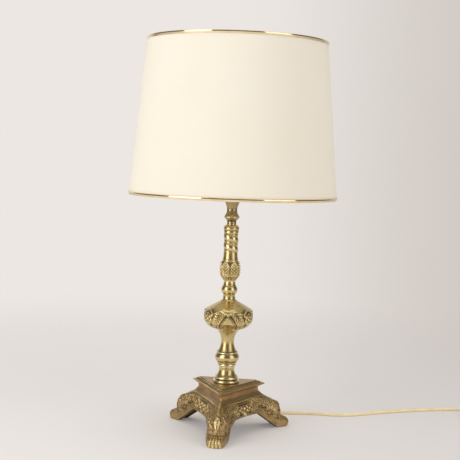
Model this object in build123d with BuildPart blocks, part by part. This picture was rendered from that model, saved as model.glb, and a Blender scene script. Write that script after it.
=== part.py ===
"""An electric table lamp made as a brass altar candlestick, with a tapered drum shade.

A hollow three-footed casting carries a stack of turned and cast pieces on one threaded tube.
The tube carries the lampholder, the bulb and the shade. The flex leaves the rear panel.

Frame: millimetres, +Z up, origin on the tube's axis at the floor, one foot towards -Y.
"""

import os
from math import cos, pi, radians, sin, tan

from build123d import *

os.makedirs("parts", exist_ok=True)

# Fits
bore_clearance = 0.2
glue_line = 0.06
running_clearance = 0.3
seat_gap = 0.15

# Tube that holds the stack together
tube_radius = 5.0
tube_wall = 1.0
tube_end = 1.0
nut_height = 4.5
nut_across_flats = 15.0
washer_radius = 10.0
washer_thickness = 1.5

# Three-footed base casting, by its stations: each has a corner radius, a half width and a height, taken up
# from the floor on the paws, down from the top at the neck, and as a share of the flank's rise between them
sole_radius = 91.5
sole_half_width = 11.0
toe_height = 4.0
toe_radius = 95.0
toe_half_width = 12.4
instep_height = 10.0
instep_radius = 90.5
instep_half_width = 12.0
ankle_height = 16.0
ankle_radius = 79.5
ankle_half_width = 10.6
knee_height = 25.0
knee_radius = 81.0
knee_half_width = 12.5
haunch_share = 0.304
haunch_radius = 78.5
haunch_half_width = 12.0
flank_share = 0.587
flank_radius = 72.5
flank_half_width = 9.0
slope_share = 0.783
slope_radius = 64.0
slope_half_width = 6.0
collar_drop = 13.0
collar_radius = 56.0
collar_half_width = 3.5
neck_drop = 6.0
neck_radius = 50.0
neck_half_width = 2.0
base_height = 61.0
corner_bulge = 0.35
leg_splay = 6.0
flank_splay = 15.0
neck_splay = 29.0
apron_distance = 37.5
haunch_distance = 35.8
flank_distance = 33.7
slope_distance = 31.5
collar_distance = 28.8
neck_distance = 26.4
base_wall = 4.5
heel_radius = 79.0
arch_height = 26.0
arch_half_width = 30.0
arch_foot_half_width = 63.5
arch_corner = 10.0
roof_thickness = 5.0

# Triangular cap on the base
cap_radius = 60.8
cap_half_width = 2.2
cap_cove_height = 3.6
cap_edge_height = 3.0
cap_step_radius = 53.0
cap_step_height = 2.9
cap_step_inset = 2.0

# Foot of the stem
flange_radius = 18.8
flange_height = 3.0
foot_cove_radius = 15.2
foot_cove_height = 2.0
foot_bead_radius = 16.4
foot_bead_height = 6.5
foot_shoulder_radius = 13.2
foot_neck_radius = 10.7
foot_neck_height = 12.5
foot_top_radius = 11.8

# Baluster
collar_bead_radius = 13.4
collar_bead_height = 4.0
fillet_radius = 14.0
fillet_height = 2.5
torus_radius = 17.0
torus_height = 12.5
torus_edge_radius = 14.8
waist_radius = 9.2
waist_height = 34.8
trumpet_radius = 17.2

# Large knop
knop_radius = 34.5
knop_belly_height = 12.0
knop_belly_swell = 1.9
knop_band_height = 14.5
knop_band_edge = 33.7
knop_shoulder_height = 6.6
knop_shoulder_radius = 26.5
knop_shoulder_swell = 0.7
knop_slope_height = 6.6
knop_slope_radius = 14.6
knop_top_height = 4.5
knop_top_radius = 9.0
knop_top_hollow = 0.5

# Small knop
small_neck_radius = 8.1
small_neck_height = 7.5
small_ring_radius = 9.2
small_knop_radius = 11.1
small_knop_height = 11.0
small_knop_edge = 9.8
small_stalk_radius = 8.1
small_stalk_height = 6.5

# Column: leaf cup, twisted shaft, collar
cup_belly_height = 8.0
cup_belly_radius = 13.2
cup_belly_hollow = 0.5
leaf_radius = 14.2
leaf_height = 20.0
leaf_tip_radius = 11.8
leaf_throat_radius = 10.9
leaf_throat_height = 3.0
shaft_radius = 9.4
shaft_offset = 0.55
shaft_pitch = 13.4
shaft_height = 39.0
shaft_phase = 155.0
top_band_radius = 10.4
top_band_height = 4.0
top_torus_radius = 11.0
top_torus_height = 7.6
top_torus_edge = 8.4

# Candle cup at the top of the stem
cup_neck_radius = 6.6
cup_neck_height = 6.0
drip_radius = 11.2
drip_rise = 5.0
drip_edge = 1.0
cup_waist_radius = 7.4
cup_waist_drop = 8.0
cup_waist_hollow = 0.7
cup_waist_height = 3.4
cup_mouth_radius = 11.2
cup_mouth_height = 10.5
cup_mouth_hollow = 0.5

# Lampholder
lock_nut_height = 3.5
boss_radius = 8.0
boss_height = 4.0
dome_height = 9.0
dome_swell = 2.7
skirt_height = 3.0
holder_radius = 18.9
holder_wall = 1.4
holder_height = 38.0
thread_radius = 19.5
thread_pitch = 2.0
thread_start = 9.0
insert_floor = 12.0
insert_recess = 1.5
socket_wall = 0.5
tongue_height = 2.2
tongue_width = 4.0
tongue_thickness = 0.7
tongue_flat = 6.5
tongue_tip = 4.4
terminal_spacing = 18.0
terminal_radius = 2.6
terminal_height = 2.0
terminal_slot = 0.9
terminal_slot_depth = 0.7
switch_radius = 2.2
switch_height = 6.0
switch_travel = 6.0
button_radius = 3.4
button_length = 3.2

# Shade rings on the lampholder
lower_ring_lift = 14.0
ring_radius = 27.0
ring_flange = 2.0
ring_hub_radius = 23.0
ring_hub_height = 4.0

# Bulb
bulb_radius = 30.0
bulb_length = 106.0
bulb_thread_radius = 13.1
bulb_root_radius = 12.4
bulb_thread_pitch = 3.6
bulb_thread_turns = 5
bulb_cap_wall = 0.4
bulb_button_radius = 4.8
bulb_button_height = 1.6
bulb_cone_height = 3.4
bulb_skirt_height = 3.0
glass_wall = 0.8
glass_neck_depth = 6.0
stem_radius = 2.2
filament_wire = 0.5
filament_reach = 12.0

# Shade
shade_bottom_radius = 148.5
shade_top_radius = 127.4
shade_bottom = 339.9
shade_height = 220.8
shade_wall = 1.0
trim_height = 4.4
trim_proud = 1.4
wire_radius = 1.6
wire_inset = 2.6
fitter_hole = 20.6
fitter_radius = 25.5
fitter_thickness = 1.5
arm_count = 3
arm_overlap = 0.4

# Flex and what is on it
flex_radius = 2.4
flex_exit_height = 34.0
exit_seat = 33.2
bush_flange_radius = 6.8
bush_flange = 2.0
bush_shank_radius = 5.0
bush_shank = 5.2
sleeve_root_radius = 4.4
sleeve_tip_radius = 3.2
sleeve_length = 22.0
inner_bend = 15.0
core_radius = 0.9
core_spread = 1.2
core_bend = 1.8
arc_share = 0.45
flex_points = [
    (0.0, 72.0, 34.0),
    (6.5, 89.0, 27.5),
    (21.0, 101.5, 16.5),
    (41.0, 107.6, 8.0),
    (63.0, 106.2, 3.4),
    (85.0, 105.5, 2.5),
    (110.0, 111.7, 2.5),
    (135.0, 114.0, 2.5),
    (159.5, 111.8, 2.5),
    (185.0, 121.7, 2.5),
    (222.0, 144.7, 2.5),
    (272.0, 172.4, 2.5),
    (323.0, 192.9, 2.5),
    (361.0, 200.2, 3.55),
]
coil_entry = (398.0, 200.2)
coil_inner_radius = 19.2
coil_step = 5.3
coil_layer = 5.3
coil_layer_turns = 3.375
climb_turns = 0.5
tie_thickness = 0.8
tie_width = 5.0
tie_gap = 0.35
tie_angle = 200.0
tail_end_run = 11.5
plug_thickness = 14.0
plug_width = 35.3
plug_front_width = 27.0
plug_rear_width = 13.0
plug_front = 10.0
plug_rear = 26.0
plug_edge = 3.0
plug_chamfer = 1.0
plug_relief = 24.0
plug_relief_tip = 3.3
plug_relief_root = 5.2
plug_gap = 36.0
pin_radius = 2.0
pin_length = 19.0
pin_spacing = 19.0
pin_tip = 1.2

# Heights that follow from the stack
cavity_top = base_height - roof_thickness
tube_bottom = cavity_top - washer_thickness - nut_height - tube_end
cap_bottom = base_height
foot_bottom = cap_bottom + cap_cove_height + cap_edge_height + cap_step_height
foot_height = flange_height + foot_cove_height + foot_bead_height + foot_neck_height
baluster_bottom = foot_bottom + foot_height
baluster_height = collar_bead_height + fillet_height + torus_height + waist_height
knop_bottom = baluster_bottom + baluster_height
knop_height = knop_belly_height + knop_band_height + knop_shoulder_height
knop_height += knop_slope_height + knop_top_height
small_bottom = knop_bottom + knop_height
small_height = small_neck_height + small_knop_height + small_stalk_height
column_bottom = small_bottom + small_height
shaft_bottom = column_bottom + cup_belly_height + leaf_height + leaf_throat_height
shaft_top = shaft_bottom + shaft_height
cup_bottom = shaft_top + top_band_height + top_torus_height
cup_height = cup_neck_height + drip_rise + drip_edge + cup_waist_drop + cup_waist_height + cup_mouth_height
cup_top = cup_bottom + cup_height
holder_bottom = cup_top + lock_nut_height
shell_bottom = holder_bottom + boss_height + dome_height + skirt_height
shell_top = shell_bottom + holder_height
socket_floor = shell_bottom + insert_floor
tube_top = holder_bottom + boss_height + tube_end
lower_ring_bottom = shell_bottom + lower_ring_lift
fitter_bottom = lower_ring_bottom + ring_hub_height + ring_flange + seat_gap
upper_ring_bottom = fitter_bottom + fitter_thickness + seat_gap
bulb_bottom = socket_floor + tongue_height + running_clearance
shade_top = shade_bottom + shade_height

# Radii that follow from the fits
tube_bore = tube_radius - tube_wall
stack_bore = tube_radius + bore_clearance
insert_radius = holder_radius - holder_wall - bore_clearance
socket_bore = bulb_thread_radius + 2 * running_clearance
socket_radius = socket_bore + socket_wall


def save(piece, name):
    """Labels a finished piece and writes it under its own name."""
    piece.part.label = name
    export_step(piece.part, f"parts/{name}.step")


def outline(*runs):
    """Draws runs of an outline: two points are a straight line, three an arc, more a smooth curve."""
    for run in runs:
        if len(run) == 2:
            Line(*run)
        elif len(run) == 3:
            ThreePointArc(*run)
        else:
            Spline(*run)


def bowed(start, end, swell):
    """Three points of an arc from start to end, which swells to the right of its chord by swell."""
    chord = Vector(*end) - Vector(*start)
    middle = (Vector(*start) + Vector(*end)) / 2 + chord.rotate(Axis.Z, -90).normalized() * swell
    return [start, (middle.X, middle.Y), end]


def turned(bore, *runs):
    """A piece turned about Z: runs give its outside from the bottom up, and a straight bore closes it."""
    with BuildPart() as piece:
        with BuildSketch(Plane.XZ):
            with BuildLine():
                outline(*runs)
                bottom, top = runs[0][0], runs[-1][-1]
                Polyline(top, (bore, top[1]), (bore, bottom[1]), bottom)
            make_face()
        revolve(axis=Axis.Z)
    return piece


def steps(bottom, *heights):
    """The heights of the joints between mouldings that stand on each other."""
    joints = [bottom]
    for height in heights:
        joints.append(joints[-1] + height)
    return joints


def three_sided(corner, half_width, panel, splay):
    """Draws a three-sided outline with rounded corners at a radius and half width.

    Each side leaves a corner at an angle of splay to its leg and is hollowed to the panel's distance.
    """
    for turn in (0, 120, 240):
        out = Vector(0, -1).rotate(Axis.Z, turn)
        across = out.rotate(Axis.Z, 90) * half_width
        following = out.rotate(Axis.Z, 120)
        following_across = across.rotate(Axis.Z, 120)
        start = out * corner - across
        end = out * corner + across
        nose = out * (corner + corner_bulge * half_width)
        ThreePointArc(start, nose, end)
        middle = out.rotate(Axis.Z, 60) * panel
        leaving = -out.rotate(Axis.Z, -splay)
        arriving = following.rotate(Axis.Z, splay)
        Spline(end, middle, following * corner - following_across, tangents=(leaving, arriving))


def triangle(corner, half_width):
    """Draws a straight-sided triangle with its corners cut off square."""
    points = []
    for turn in (0, 120, 240):
        out = Vector(0, -1).rotate(Axis.Z, turn) * corner
        across = Vector(1, 0).rotate(Axis.Z, turn) * half_width
        points += [out - across, out + across]
    Polyline(*points, close=True)


# Base casting: three hollow legs on paws, with an arch between each pair and a flat roof
flank_rise = base_height - collar_drop - knee_height
stations = [
    (0, sole_radius, sole_half_width, apron_distance, leg_splay),
    (toe_height, toe_radius, toe_half_width, apron_distance, leg_splay),
    (instep_height, instep_radius, instep_half_width, apron_distance, leg_splay),
    (ankle_height, ankle_radius, ankle_half_width, apron_distance, leg_splay),
    (knee_height, knee_radius, knee_half_width, apron_distance, leg_splay),
    (knee_height + haunch_share * flank_rise, haunch_radius, haunch_half_width, haunch_distance, leg_splay),
    (knee_height + flank_share * flank_rise, flank_radius, flank_half_width, flank_distance, flank_splay),
    (knee_height + slope_share * flank_rise, slope_radius, slope_half_width, slope_distance, flank_splay),
    (base_height - collar_drop, collar_radius, collar_half_width, collar_distance, neck_splay),
    (base_height - neck_drop, neck_radius, neck_half_width, neck_distance, neck_splay),
    (base_height, neck_radius, neck_half_width, neck_distance, neck_splay),
]
with BuildPart() as base_casting:
    for height, corner, half_width, panel, splay in stations:
        with BuildSketch(Plane.XY.offset(height)):
            with BuildLine():
                three_sided(corner, half_width, panel, splay)
            make_face()
    loft()
    for height, corner, half_width, panel, splay in stations[:-1]:
        inner_height = height * cavity_top / (base_height - neck_drop)
        inner_corner = min(corner - 2 * base_wall, heel_radius)
        inner_half_width = max(half_width - base_wall, neck_half_width)
        with BuildSketch(Plane.XY.offset(inner_height)):
            with BuildLine():
                three_sided(inner_corner, inner_half_width, panel - base_wall, splay)
            make_face()
    loft(ruled=True, mode=Mode.SUBTRACT)
    for turn in (60, 180, 300):
        out = Vector(0, -1).rotate(Axis.Z, turn)
        with BuildSketch(Plane(origin=(0, 0, 0), x_dir=out.rotate(Axis.Z, 90), z_dir=out)) as arch:
            with BuildLine():
                Polyline(
                    (-arch_foot_half_width, 0),
                    (-arch_half_width, arch_height),
                    (arch_half_width, arch_height),
                    (arch_foot_half_width, 0),
                    close=True,
                )
            make_face()
            fillet(arch.vertices().group_by(Axis.Y)[-1], arch_corner)
        extrude(amount=toe_radius, mode=Mode.SUBTRACT)
    with BuildSketch(Plane.XY.offset(base_height)):
        Circle(stack_bore)
    extrude(amount=-base_height, mode=Mode.SUBTRACT)
    exit_plane = Plane(origin=(0, exit_seat, flex_exit_height), x_dir=(1, 0, 0), z_dir=(0, 1, 0))
    with BuildSketch(exit_plane):
        Circle(bush_flange_radius + bore_clearance)
    extrude(amount=apron_distance, mode=Mode.SUBTRACT)
    with BuildSketch(exit_plane):
        Circle(bush_shank_radius + bore_clearance)
    extrude(amount=-exit_seat, mode=Mode.SUBTRACT)
save(base_casting, "base_casting")

# Cap: a triangular plate with a cove below its edge and a raised step on top
with BuildPart() as base_cap:
    with BuildSketch(Plane.XY.offset(cap_bottom)):
        with BuildLine():
            triangle(neck_radius, neck_half_width)
        make_face()
    with BuildSketch(Plane.XY.offset(cap_bottom + cap_cove_height)):
        with BuildLine():
            triangle(cap_radius, cap_half_width)
        make_face()
    loft()
    with BuildSketch(Plane.XY.offset(cap_bottom + cap_cove_height)):
        with BuildLine():
            triangle(cap_radius, cap_half_width)
        make_face()
    extrude(amount=cap_edge_height)
    with BuildSketch(Plane.XY.offset(foot_bottom - cap_step_height)):
        with BuildLine():
            triangle(cap_step_radius, cap_half_width)
        make_face()
    with BuildSketch(Plane.XY.offset(foot_bottom)):
        with BuildLine():
            triangle(cap_step_radius - cap_step_inset, cap_half_width)
        make_face()
    loft()
    with BuildSketch(Plane.XY.offset(foot_bottom)):
        Circle(stack_bore)
    extrude(amount=cap_bottom - foot_bottom, mode=Mode.SUBTRACT)
save(base_cap, "base_cap")

# Foot of the stem: a flange, a bead and a hollow neck
z0, z1, z2, z3, z4 = steps(foot_bottom, flange_height, foot_cove_height, foot_bead_height, foot_neck_height)
stem_foot = turned(
    stack_bore,
    [(flange_radius, z0), (flange_radius, z1)],
    [(flange_radius, z1), (foot_cove_radius, z1)],
    [(foot_cove_radius, z1), (foot_cove_radius, z2)],
    [(foot_cove_radius, z2), (foot_bead_radius, (z2 + z3) / 2), (foot_shoulder_radius, z3)],
    [(foot_shoulder_radius, z3), (foot_neck_radius, (z3 + z4) / 2), (foot_top_radius, z4)],
)
save(stem_foot, "stem_foot")

# Baluster: a collar bead, a torus and a waisted trumpet that carries the large knop
z0, z1, z2, z3, z4 = steps(baluster_bottom, collar_bead_height, fillet_height, torus_height, waist_height)
baluster = turned(
    stack_bore,
    [(foot_top_radius, z0), (collar_bead_radius, (z0 + z1) / 2), (foot_top_radius, z1)],
    [(foot_top_radius, z1), (fillet_radius, z1)],
    [(fillet_radius, z1), (fillet_radius, z2)],
    [(fillet_radius, z2), (torus_radius, (z2 + z3) / 2), (torus_edge_radius, z3)],
    [(torus_edge_radius, z3), (waist_radius, (z3 + z4) / 2), (trumpet_radius, z4)],
)
save(baluster, "baluster")

# Large knop: a rounded belly, an upright band and an ogee shoulder
z0, z1, z2, z3, z4, z5 = steps(
    knop_bottom,
    knop_belly_height,
    knop_band_height,
    knop_shoulder_height,
    knop_slope_height,
    knop_top_height,
)
knop = turned(
    stack_bore,
    bowed((trumpet_radius, z0), (knop_band_edge, z1), knop_belly_swell),
    [(knop_band_edge, z1), (knop_radius, (z1 + z2) / 2), (knop_band_edge, z2)],
    bowed((knop_band_edge, z2), (knop_shoulder_radius, z3), knop_shoulder_swell),
    [(knop_shoulder_radius, z3), (knop_slope_radius, z4)],
    bowed((knop_slope_radius, z4), (knop_top_radius, z5), -knop_top_hollow),
)
save(knop, "knop")

# Small knop between two necks
z0, z1, z2, z3 = steps(small_bottom, small_neck_height, small_knop_height, small_stalk_height)
small_knop = turned(
    stack_bore,
    [(knop_top_radius, z0), (small_neck_radius, (z0 + z1) / 2), (small_ring_radius, z1)],
    [(small_ring_radius, z1), (small_knop_radius, (z1 + z2) / 2), (small_knop_edge, z2)],
    [(small_knop_edge, z2), (small_stalk_radius, z2)],
    [(small_stalk_radius, z2), (small_stalk_radius, z3)],
)
save(small_knop, "small_knop")

# Column: a leaf cup, a left-hand twisted shaft and a collar, cast in one
z0, z1, z2, z3 = steps(column_bottom, cup_belly_height, leaf_height, leaf_throat_height)
shaft_sections = round(4 * shaft_height / shaft_pitch)
with BuildPart() as column:
    with BuildSketch(Plane.XZ):
        with BuildLine():
            outline(
                [(0, z0), (small_stalk_radius, z0)],
                bowed((small_stalk_radius, z0), (cup_belly_radius, z1), -cup_belly_hollow),
                [(cup_belly_radius, z1), (leaf_radius, (z1 + z2) / 2), (leaf_tip_radius, z2)],
                [(leaf_tip_radius, z2), (leaf_throat_radius, z3)],
                [(leaf_throat_radius, z3), (0, z3)],
                [(0, z3), (0, z0)],
            )
        make_face()
    revolve(axis=Axis.Z)
    for section in range(shaft_sections + 1):
        rise = shaft_height * section / shaft_sections
        angle = radians(shaft_phase) - 2 * pi * rise / shaft_pitch
        centre = (shaft_offset * cos(angle), shaft_offset * sin(angle), shaft_bottom + rise)
        with BuildSketch(Plane(origin=centre)):
            Circle(shaft_radius)
    loft()
    z0, z1, z2 = steps(shaft_top, top_band_height, top_torus_height)
    with BuildSketch(Plane.XZ):
        with BuildLine():
            outline(
                [(0, z0), (top_band_radius, z0)],
                [(top_band_radius, z0), (top_band_radius, z1)],
                [(top_band_radius, z1), (top_torus_radius, (z1 + z2) / 2), (top_torus_edge, z2)],
                [(top_torus_edge, z2), (0, z2)],
                [(0, z2), (0, z0)],
            )
        make_face()
    revolve(axis=Axis.Z)
    with BuildSketch(Plane.XY.offset(cup_bottom)):
        Circle(stack_bore)
    extrude(amount=column_bottom - cup_bottom, mode=Mode.SUBTRACT)
save(column, "column")

# Candle cup: a neck, a sharp drip ring, a waist and a flared mouth
z0, z1, z2, z3, z4, z5, z6 = steps(
    cup_bottom, cup_neck_height, drip_rise, drip_edge, cup_waist_drop, cup_waist_height, cup_mouth_height
)
candle_cup = turned(
    stack_bore,
    [(cup_neck_radius, z0), (cup_neck_radius, z1)],
    [(cup_neck_radius, z1), (drip_radius, z2)],
    [(drip_radius, z2), (drip_radius, z3)],
    bowed((drip_radius, z3), (cup_waist_radius, z4), -cup_waist_hollow),
    [(cup_waist_radius, z4), (cup_waist_radius, z5)],
    bowed((cup_waist_radius, z5), (cup_mouth_radius, z6), -cup_mouth_hollow),
)
save(candle_cup, "candle_cup")

# Threaded tube with its washer and nut under the roof, and the lock nut on the candle cup
with BuildPart() as threaded_tube:
    with BuildSketch(Plane.XY.offset(tube_bottom)):
        Circle(tube_radius)
        Circle(tube_bore, mode=Mode.SUBTRACT)
    extrude(amount=tube_top - tube_bottom)
save(threaded_tube, "threaded_tube")

with BuildPart() as base_washer:
    with BuildSketch(Plane.XY.offset(cavity_top)):
        Circle(washer_radius)
        Circle(stack_bore, mode=Mode.SUBTRACT)
    extrude(amount=-washer_thickness)
save(base_washer, "base_washer")

with BuildPart() as base_nut:
    with BuildSketch(Plane.XY.offset(cavity_top - washer_thickness)):
        RegularPolygon(nut_across_flats / 2, 6, major_radius=False)
        Circle(stack_bore, mode=Mode.SUBTRACT)
    extrude(amount=-nut_height)
save(base_nut, "base_nut")

with BuildPart() as lock_nut:
    with BuildSketch(Plane.XY.offset(cup_top)):
        RegularPolygon(nut_across_flats / 2, 6, major_radius=False)
        Circle(stack_bore, mode=Mode.SUBTRACT)
    extrude(amount=lock_nut_height)
save(lock_nut, "lock_nut")

# Lampholder cap: a domed cup that screws onto the tube by its boss
z0, z1, z2, z3 = steps(holder_bottom, boss_height, dome_height, skirt_height)
holder_bore = holder_radius - holder_wall
with BuildPart() as holder_cap:
    with BuildSketch(Plane.XZ):
        with BuildLine():
            outline(
                [(stack_bore, z0), (boss_radius, z0)],
                [(boss_radius, z0), (boss_radius, z1)],
                bowed((boss_radius, z1), (holder_radius, z2), dome_swell),
                [(holder_radius, z2), (holder_radius, z3)],
                [(holder_radius, z3), (holder_bore, z3)],
                [(holder_bore, z3), (holder_bore, z2)],
                bowed((holder_bore, z2), (boss_radius, z1 + holder_wall), -dome_swell),
                [(boss_radius, z1 + holder_wall), (stack_bore, z1 + holder_wall)],
                [(stack_bore, z1 + holder_wall), (stack_bore, z0)],
            )
        make_face()
    revolve(axis=Axis.Z)
save(holder_cap, "holder_cap")

# Lampholder shell: a tube with a screw thread for the shade rings and side holes for the switch
switch_level = shell_bottom + switch_height
switch_plane = Plane(origin=(0, 0, switch_level), x_dir=(0, 1, 0), z_dir=(1, 0, 0))
thread_count = int((holder_height - thread_start) / thread_pitch)
thread = []
for turn in range(thread_count):
    root = shell_bottom + thread_start + turn * thread_pitch
    thread += [(holder_radius, root), (thread_radius, root + thread_pitch / 2)]
with BuildPart() as holder_shell:
    with BuildSketch(Plane.XZ):
        with BuildLine():
            Polyline(
                (holder_radius, shell_bottom),
                *thread,
                (holder_radius, shell_bottom + thread_start + thread_count * thread_pitch),
                (holder_radius, shell_top),
                (holder_bore, shell_top),
                (holder_bore, shell_bottom),
                close=True,
            )
        make_face()
    revolve(axis=Axis.Z)
    with BuildSketch(switch_plane):
        Circle(switch_radius + running_clearance)
    extrude(amount=thread_radius, both=True, mode=Mode.SUBTRACT)
save(holder_shell, "holder_shell")

# Insulating insert: a thick-floored cup that holds the socket and the switch
with BuildPart() as holder_insert:
    with BuildSketch(Plane.XY.offset(shell_bottom)):
        Circle(insert_radius)
    extrude(amount=holder_height - insert_recess)
    with BuildSketch(Plane.XY.offset(shell_top)):
        Circle(socket_radius + bore_clearance)
    extrude(amount=socket_floor - shell_top, mode=Mode.SUBTRACT)
    with BuildSketch(switch_plane):
        Circle(switch_radius + running_clearance)
    extrude(amount=holder_radius, both=True, mode=Mode.SUBTRACT)
save(holder_insert, "holder_insert")

# Socket: the thin screwed sleeve that takes the bulb's cap
with BuildPart() as socket_sleeve:
    with BuildSketch(Plane.XY.offset(socket_floor)):
        Circle(socket_radius)
        Circle(socket_bore, mode=Mode.SUBTRACT)
    extrude(amount=shell_top - insert_recess - socket_floor)
save(socket_sleeve, "socket_sleeve")

# Spring tongue that meets the bulb's contact
tongue_reach = socket_bore - 2 * running_clearance
with BuildPart() as contact_tongue:
    with BuildSketch(Plane.XZ):
        with BuildLine():
            Polyline(
                (-tongue_reach, socket_floor),
                (-tongue_flat, socket_floor),
                (0, socket_floor + tongue_height - tongue_thickness),
                (tongue_tip, socket_floor + tongue_height - 2 * tongue_thickness),
                (tongue_tip, socket_floor + tongue_height - tongue_thickness),
                (0, socket_floor + tongue_height),
                (-tongue_flat, socket_floor + tongue_thickness),
                (-tongue_reach, socket_floor + tongue_thickness),
                close=True,
            )
        make_face()
    extrude(amount=tongue_width / 2, both=True)
save(contact_tongue, "contact_tongue")

# Two terminal screws under the insert
with BuildPart() as terminal_screws:
    with BuildSketch(Plane.XY.offset(shell_bottom)):
        with Locations((-terminal_spacing / 2, 0), (terminal_spacing / 2, 0)):
            Circle(terminal_radius)
    extrude(amount=-terminal_height)
    with BuildSketch(Plane.XY.offset(shell_bottom - terminal_height)):
        with Locations((-terminal_spacing / 2, 0), (terminal_spacing / 2, 0)):
            Rectangle(terminal_slot, 2 * terminal_radius)
    extrude(amount=terminal_slot_depth, mode=Mode.SUBTRACT)
save(terminal_screws, "terminal_screws")

# Push bar of the switch: pressed through from one side to the other
button_seat = thread_radius + running_clearance + switch_travel / 2
bar_plane = Plane(origin=(-switch_travel / 2, 0, switch_level), x_dir=(0, 1, 0), z_dir=(1, 0, 0))
with BuildPart() as switch_bar:
    with BuildSketch(bar_plane):
        Circle(switch_radius)
    extrude(amount=button_seat, both=True)
    for side in (-1, 1):
        with BuildSketch(bar_plane.offset(side * button_seat)):
            Circle(button_radius)
        extrude(amount=side * button_length)
save(switch_bar, "switch_bar")


def shade_ring(bottom, bore, flange_up):
    """A screwed ring whose flange meets the shade's fitter, at its top if flange_up, else at its bottom."""
    hub_bottom = bottom if flange_up else bottom + ring_flange
    flange_bottom = bottom + ring_hub_height if flange_up else bottom
    with BuildPart() as ring:
        with BuildSketch(Plane.XY.offset(hub_bottom)):
            Circle(ring_hub_radius)
            Circle(bore, mode=Mode.SUBTRACT)
        extrude(amount=ring_hub_height)
        with BuildSketch(Plane.XY.offset(flange_bottom)):
            Circle(ring_radius)
            Circle(bore, mode=Mode.SUBTRACT)
        extrude(amount=ring_flange)
    return ring


lower_shade_ring = shade_ring(lower_ring_bottom, thread_radius + bore_clearance, True)
save(lower_shade_ring, "lower_shade_ring")
upper_shade_ring = shade_ring(upper_ring_bottom, thread_radius + running_clearance, False)
save(upper_shade_ring, "upper_shade_ring")

# Bulb contact: the button and the insulating cone at the bottom of the cap
z0, z1, z2 = steps(bulb_bottom, bulb_button_height, bulb_cone_height)
bulb_contact = turned(
    0,
    [(bulb_button_radius, z0), (bulb_button_radius, z1)],
    [(bulb_button_radius, z1), (bulb_root_radius - bulb_cap_wall, z2)],
)
save(bulb_contact, "bulb_contact")

# Bulb cap: a rolled screw shell with a plain skirt
cap_shell_bottom = bulb_bottom + bulb_button_height + bulb_cone_height
cap_shell_top = cap_shell_bottom + bulb_thread_turns * bulb_thread_pitch + bulb_skirt_height
cap_thread = []
for turn in range(bulb_thread_turns):
    root = cap_shell_bottom + turn * bulb_thread_pitch
    cap_thread += [(bulb_root_radius, root), (bulb_thread_radius, root + bulb_thread_pitch / 2)]
cap_bore = bulb_root_radius - bulb_cap_wall
with BuildPart() as bulb_cap:
    with BuildSketch(Plane.XZ):
        with BuildLine():
            Polyline(
                *cap_thread,
                (bulb_root_radius, cap_shell_top - bulb_skirt_height),
                (bulb_root_radius, cap_shell_top),
                (cap_bore, cap_shell_top),
                (cap_bore, cap_shell_bottom),
                close=True,
            )
        make_face()
    revolve(axis=Axis.Z)
save(bulb_cap, "bulb_cap")

# Bulb glass: a blown globe that draws down to a neck inside the cap
globe_level = bulb_bottom + bulb_length - bulb_radius
neck_level = cap_shell_top - glass_neck_depth


def glass_line(inset):
    """Half of the glass outline, from the crown down to the neck's end, moved in by inset."""
    globe = bulb_radius - inset
    neck = cap_bore - bore_clearance - inset
    diagonal = globe * cos(pi / 4)
    ThreePointArc((0, globe_level + globe), (diagonal, globe_level + diagonal), (globe, globe_level))
    Spline((globe, globe_level), (neck, cap_shell_top), tangents=((0, -1), (0, -1)))
    Line((neck, cap_shell_top), (neck, neck_level))
    return neck


with BuildPart() as bulb_glass:
    with BuildSketch(Plane.XZ):
        with BuildLine():
            outer_neck = glass_line(0)
            inner_neck = glass_line(glass_wall)
            Line((outer_neck, neck_level), (inner_neck, neck_level))
            Line((0, globe_level + bulb_radius), (0, globe_level + bulb_radius - glass_wall))
        make_face()
    revolve(axis=Axis.Z)
save(bulb_glass, "bulb_glass")

# Filament and the glass stem that holds it
stem_foot_radius = inner_neck - bore_clearance
filament_level = globe_level - filament_reach
with BuildPart() as bulb_filament:
    with BuildSketch(Plane.XZ):
        with BuildLine():
            Polyline(
                (0, neck_level),
                (stem_foot_radius, neck_level),
                (stem_foot_radius, neck_level + glass_wall),
                (stem_radius, neck_level + glass_neck_depth),
                (stem_radius, filament_level),
                (0, filament_level),
                close=True,
            )
        make_face()
    revolve(axis=Axis.Z)
    with BuildLine() as filament_line:
        Polyline((-filament_reach, 0, globe_level), (0, 0, filament_level - stem_radius / 2))
        Polyline((0, 0, filament_level - stem_radius / 2), (filament_reach, 0, globe_level))
        ThreePointArc(
            (filament_reach, 0, globe_level),
            (0, -filament_reach, globe_level),
            (-filament_reach, 0, globe_level),
        )
    for edge in filament_line.edges():
        with BuildSketch(Plane(origin=edge @ 0, z_dir=edge % 0)):
            Circle(filament_wire)
        sweep(path=edge)
save(bulb_filament, "bulb_filament")


def shade_radius(height):
    """Outer radius of the shade's cloth at a height."""
    share = (height - shade_bottom) / shade_height
    return shade_bottom_radius + share * (shade_top_radius - shade_bottom_radius)


# Shade cover: stiffened cloth in one tapered drum
with BuildPart() as shade_cover:
    with BuildSketch(Plane.XZ):
        with BuildLine():
            Polyline(
                (shade_bottom_radius - shade_wall, shade_bottom),
                (shade_bottom_radius, shade_bottom),
                (shade_top_radius, shade_top),
                (shade_top_radius - shade_wall, shade_top),
                close=True,
            )
        make_face()
    revolve(axis=Axis.Z)
save(shade_cover, "shade_cover")


def trim_ring(bottom):
    """A half-round band fixed round the outside of the cloth, with its lower edge at bottom."""
    top = bottom + trim_height
    middle = bottom + trim_height / 2
    with BuildPart() as ring:
        with BuildSketch(Plane.XZ):
            with BuildLine():
                outline(
                    [(shade_radius(bottom) + glue_line, bottom), (shade_radius(top) + glue_line, top)],
                    [
                        (shade_radius(top) + glue_line, top),
                        (shade_radius(middle) + glue_line + trim_proud, middle),
                        (shade_radius(bottom) + glue_line, bottom),
                    ],
                )
            make_face()
        revolve(axis=Axis.Z)
    return ring


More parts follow.
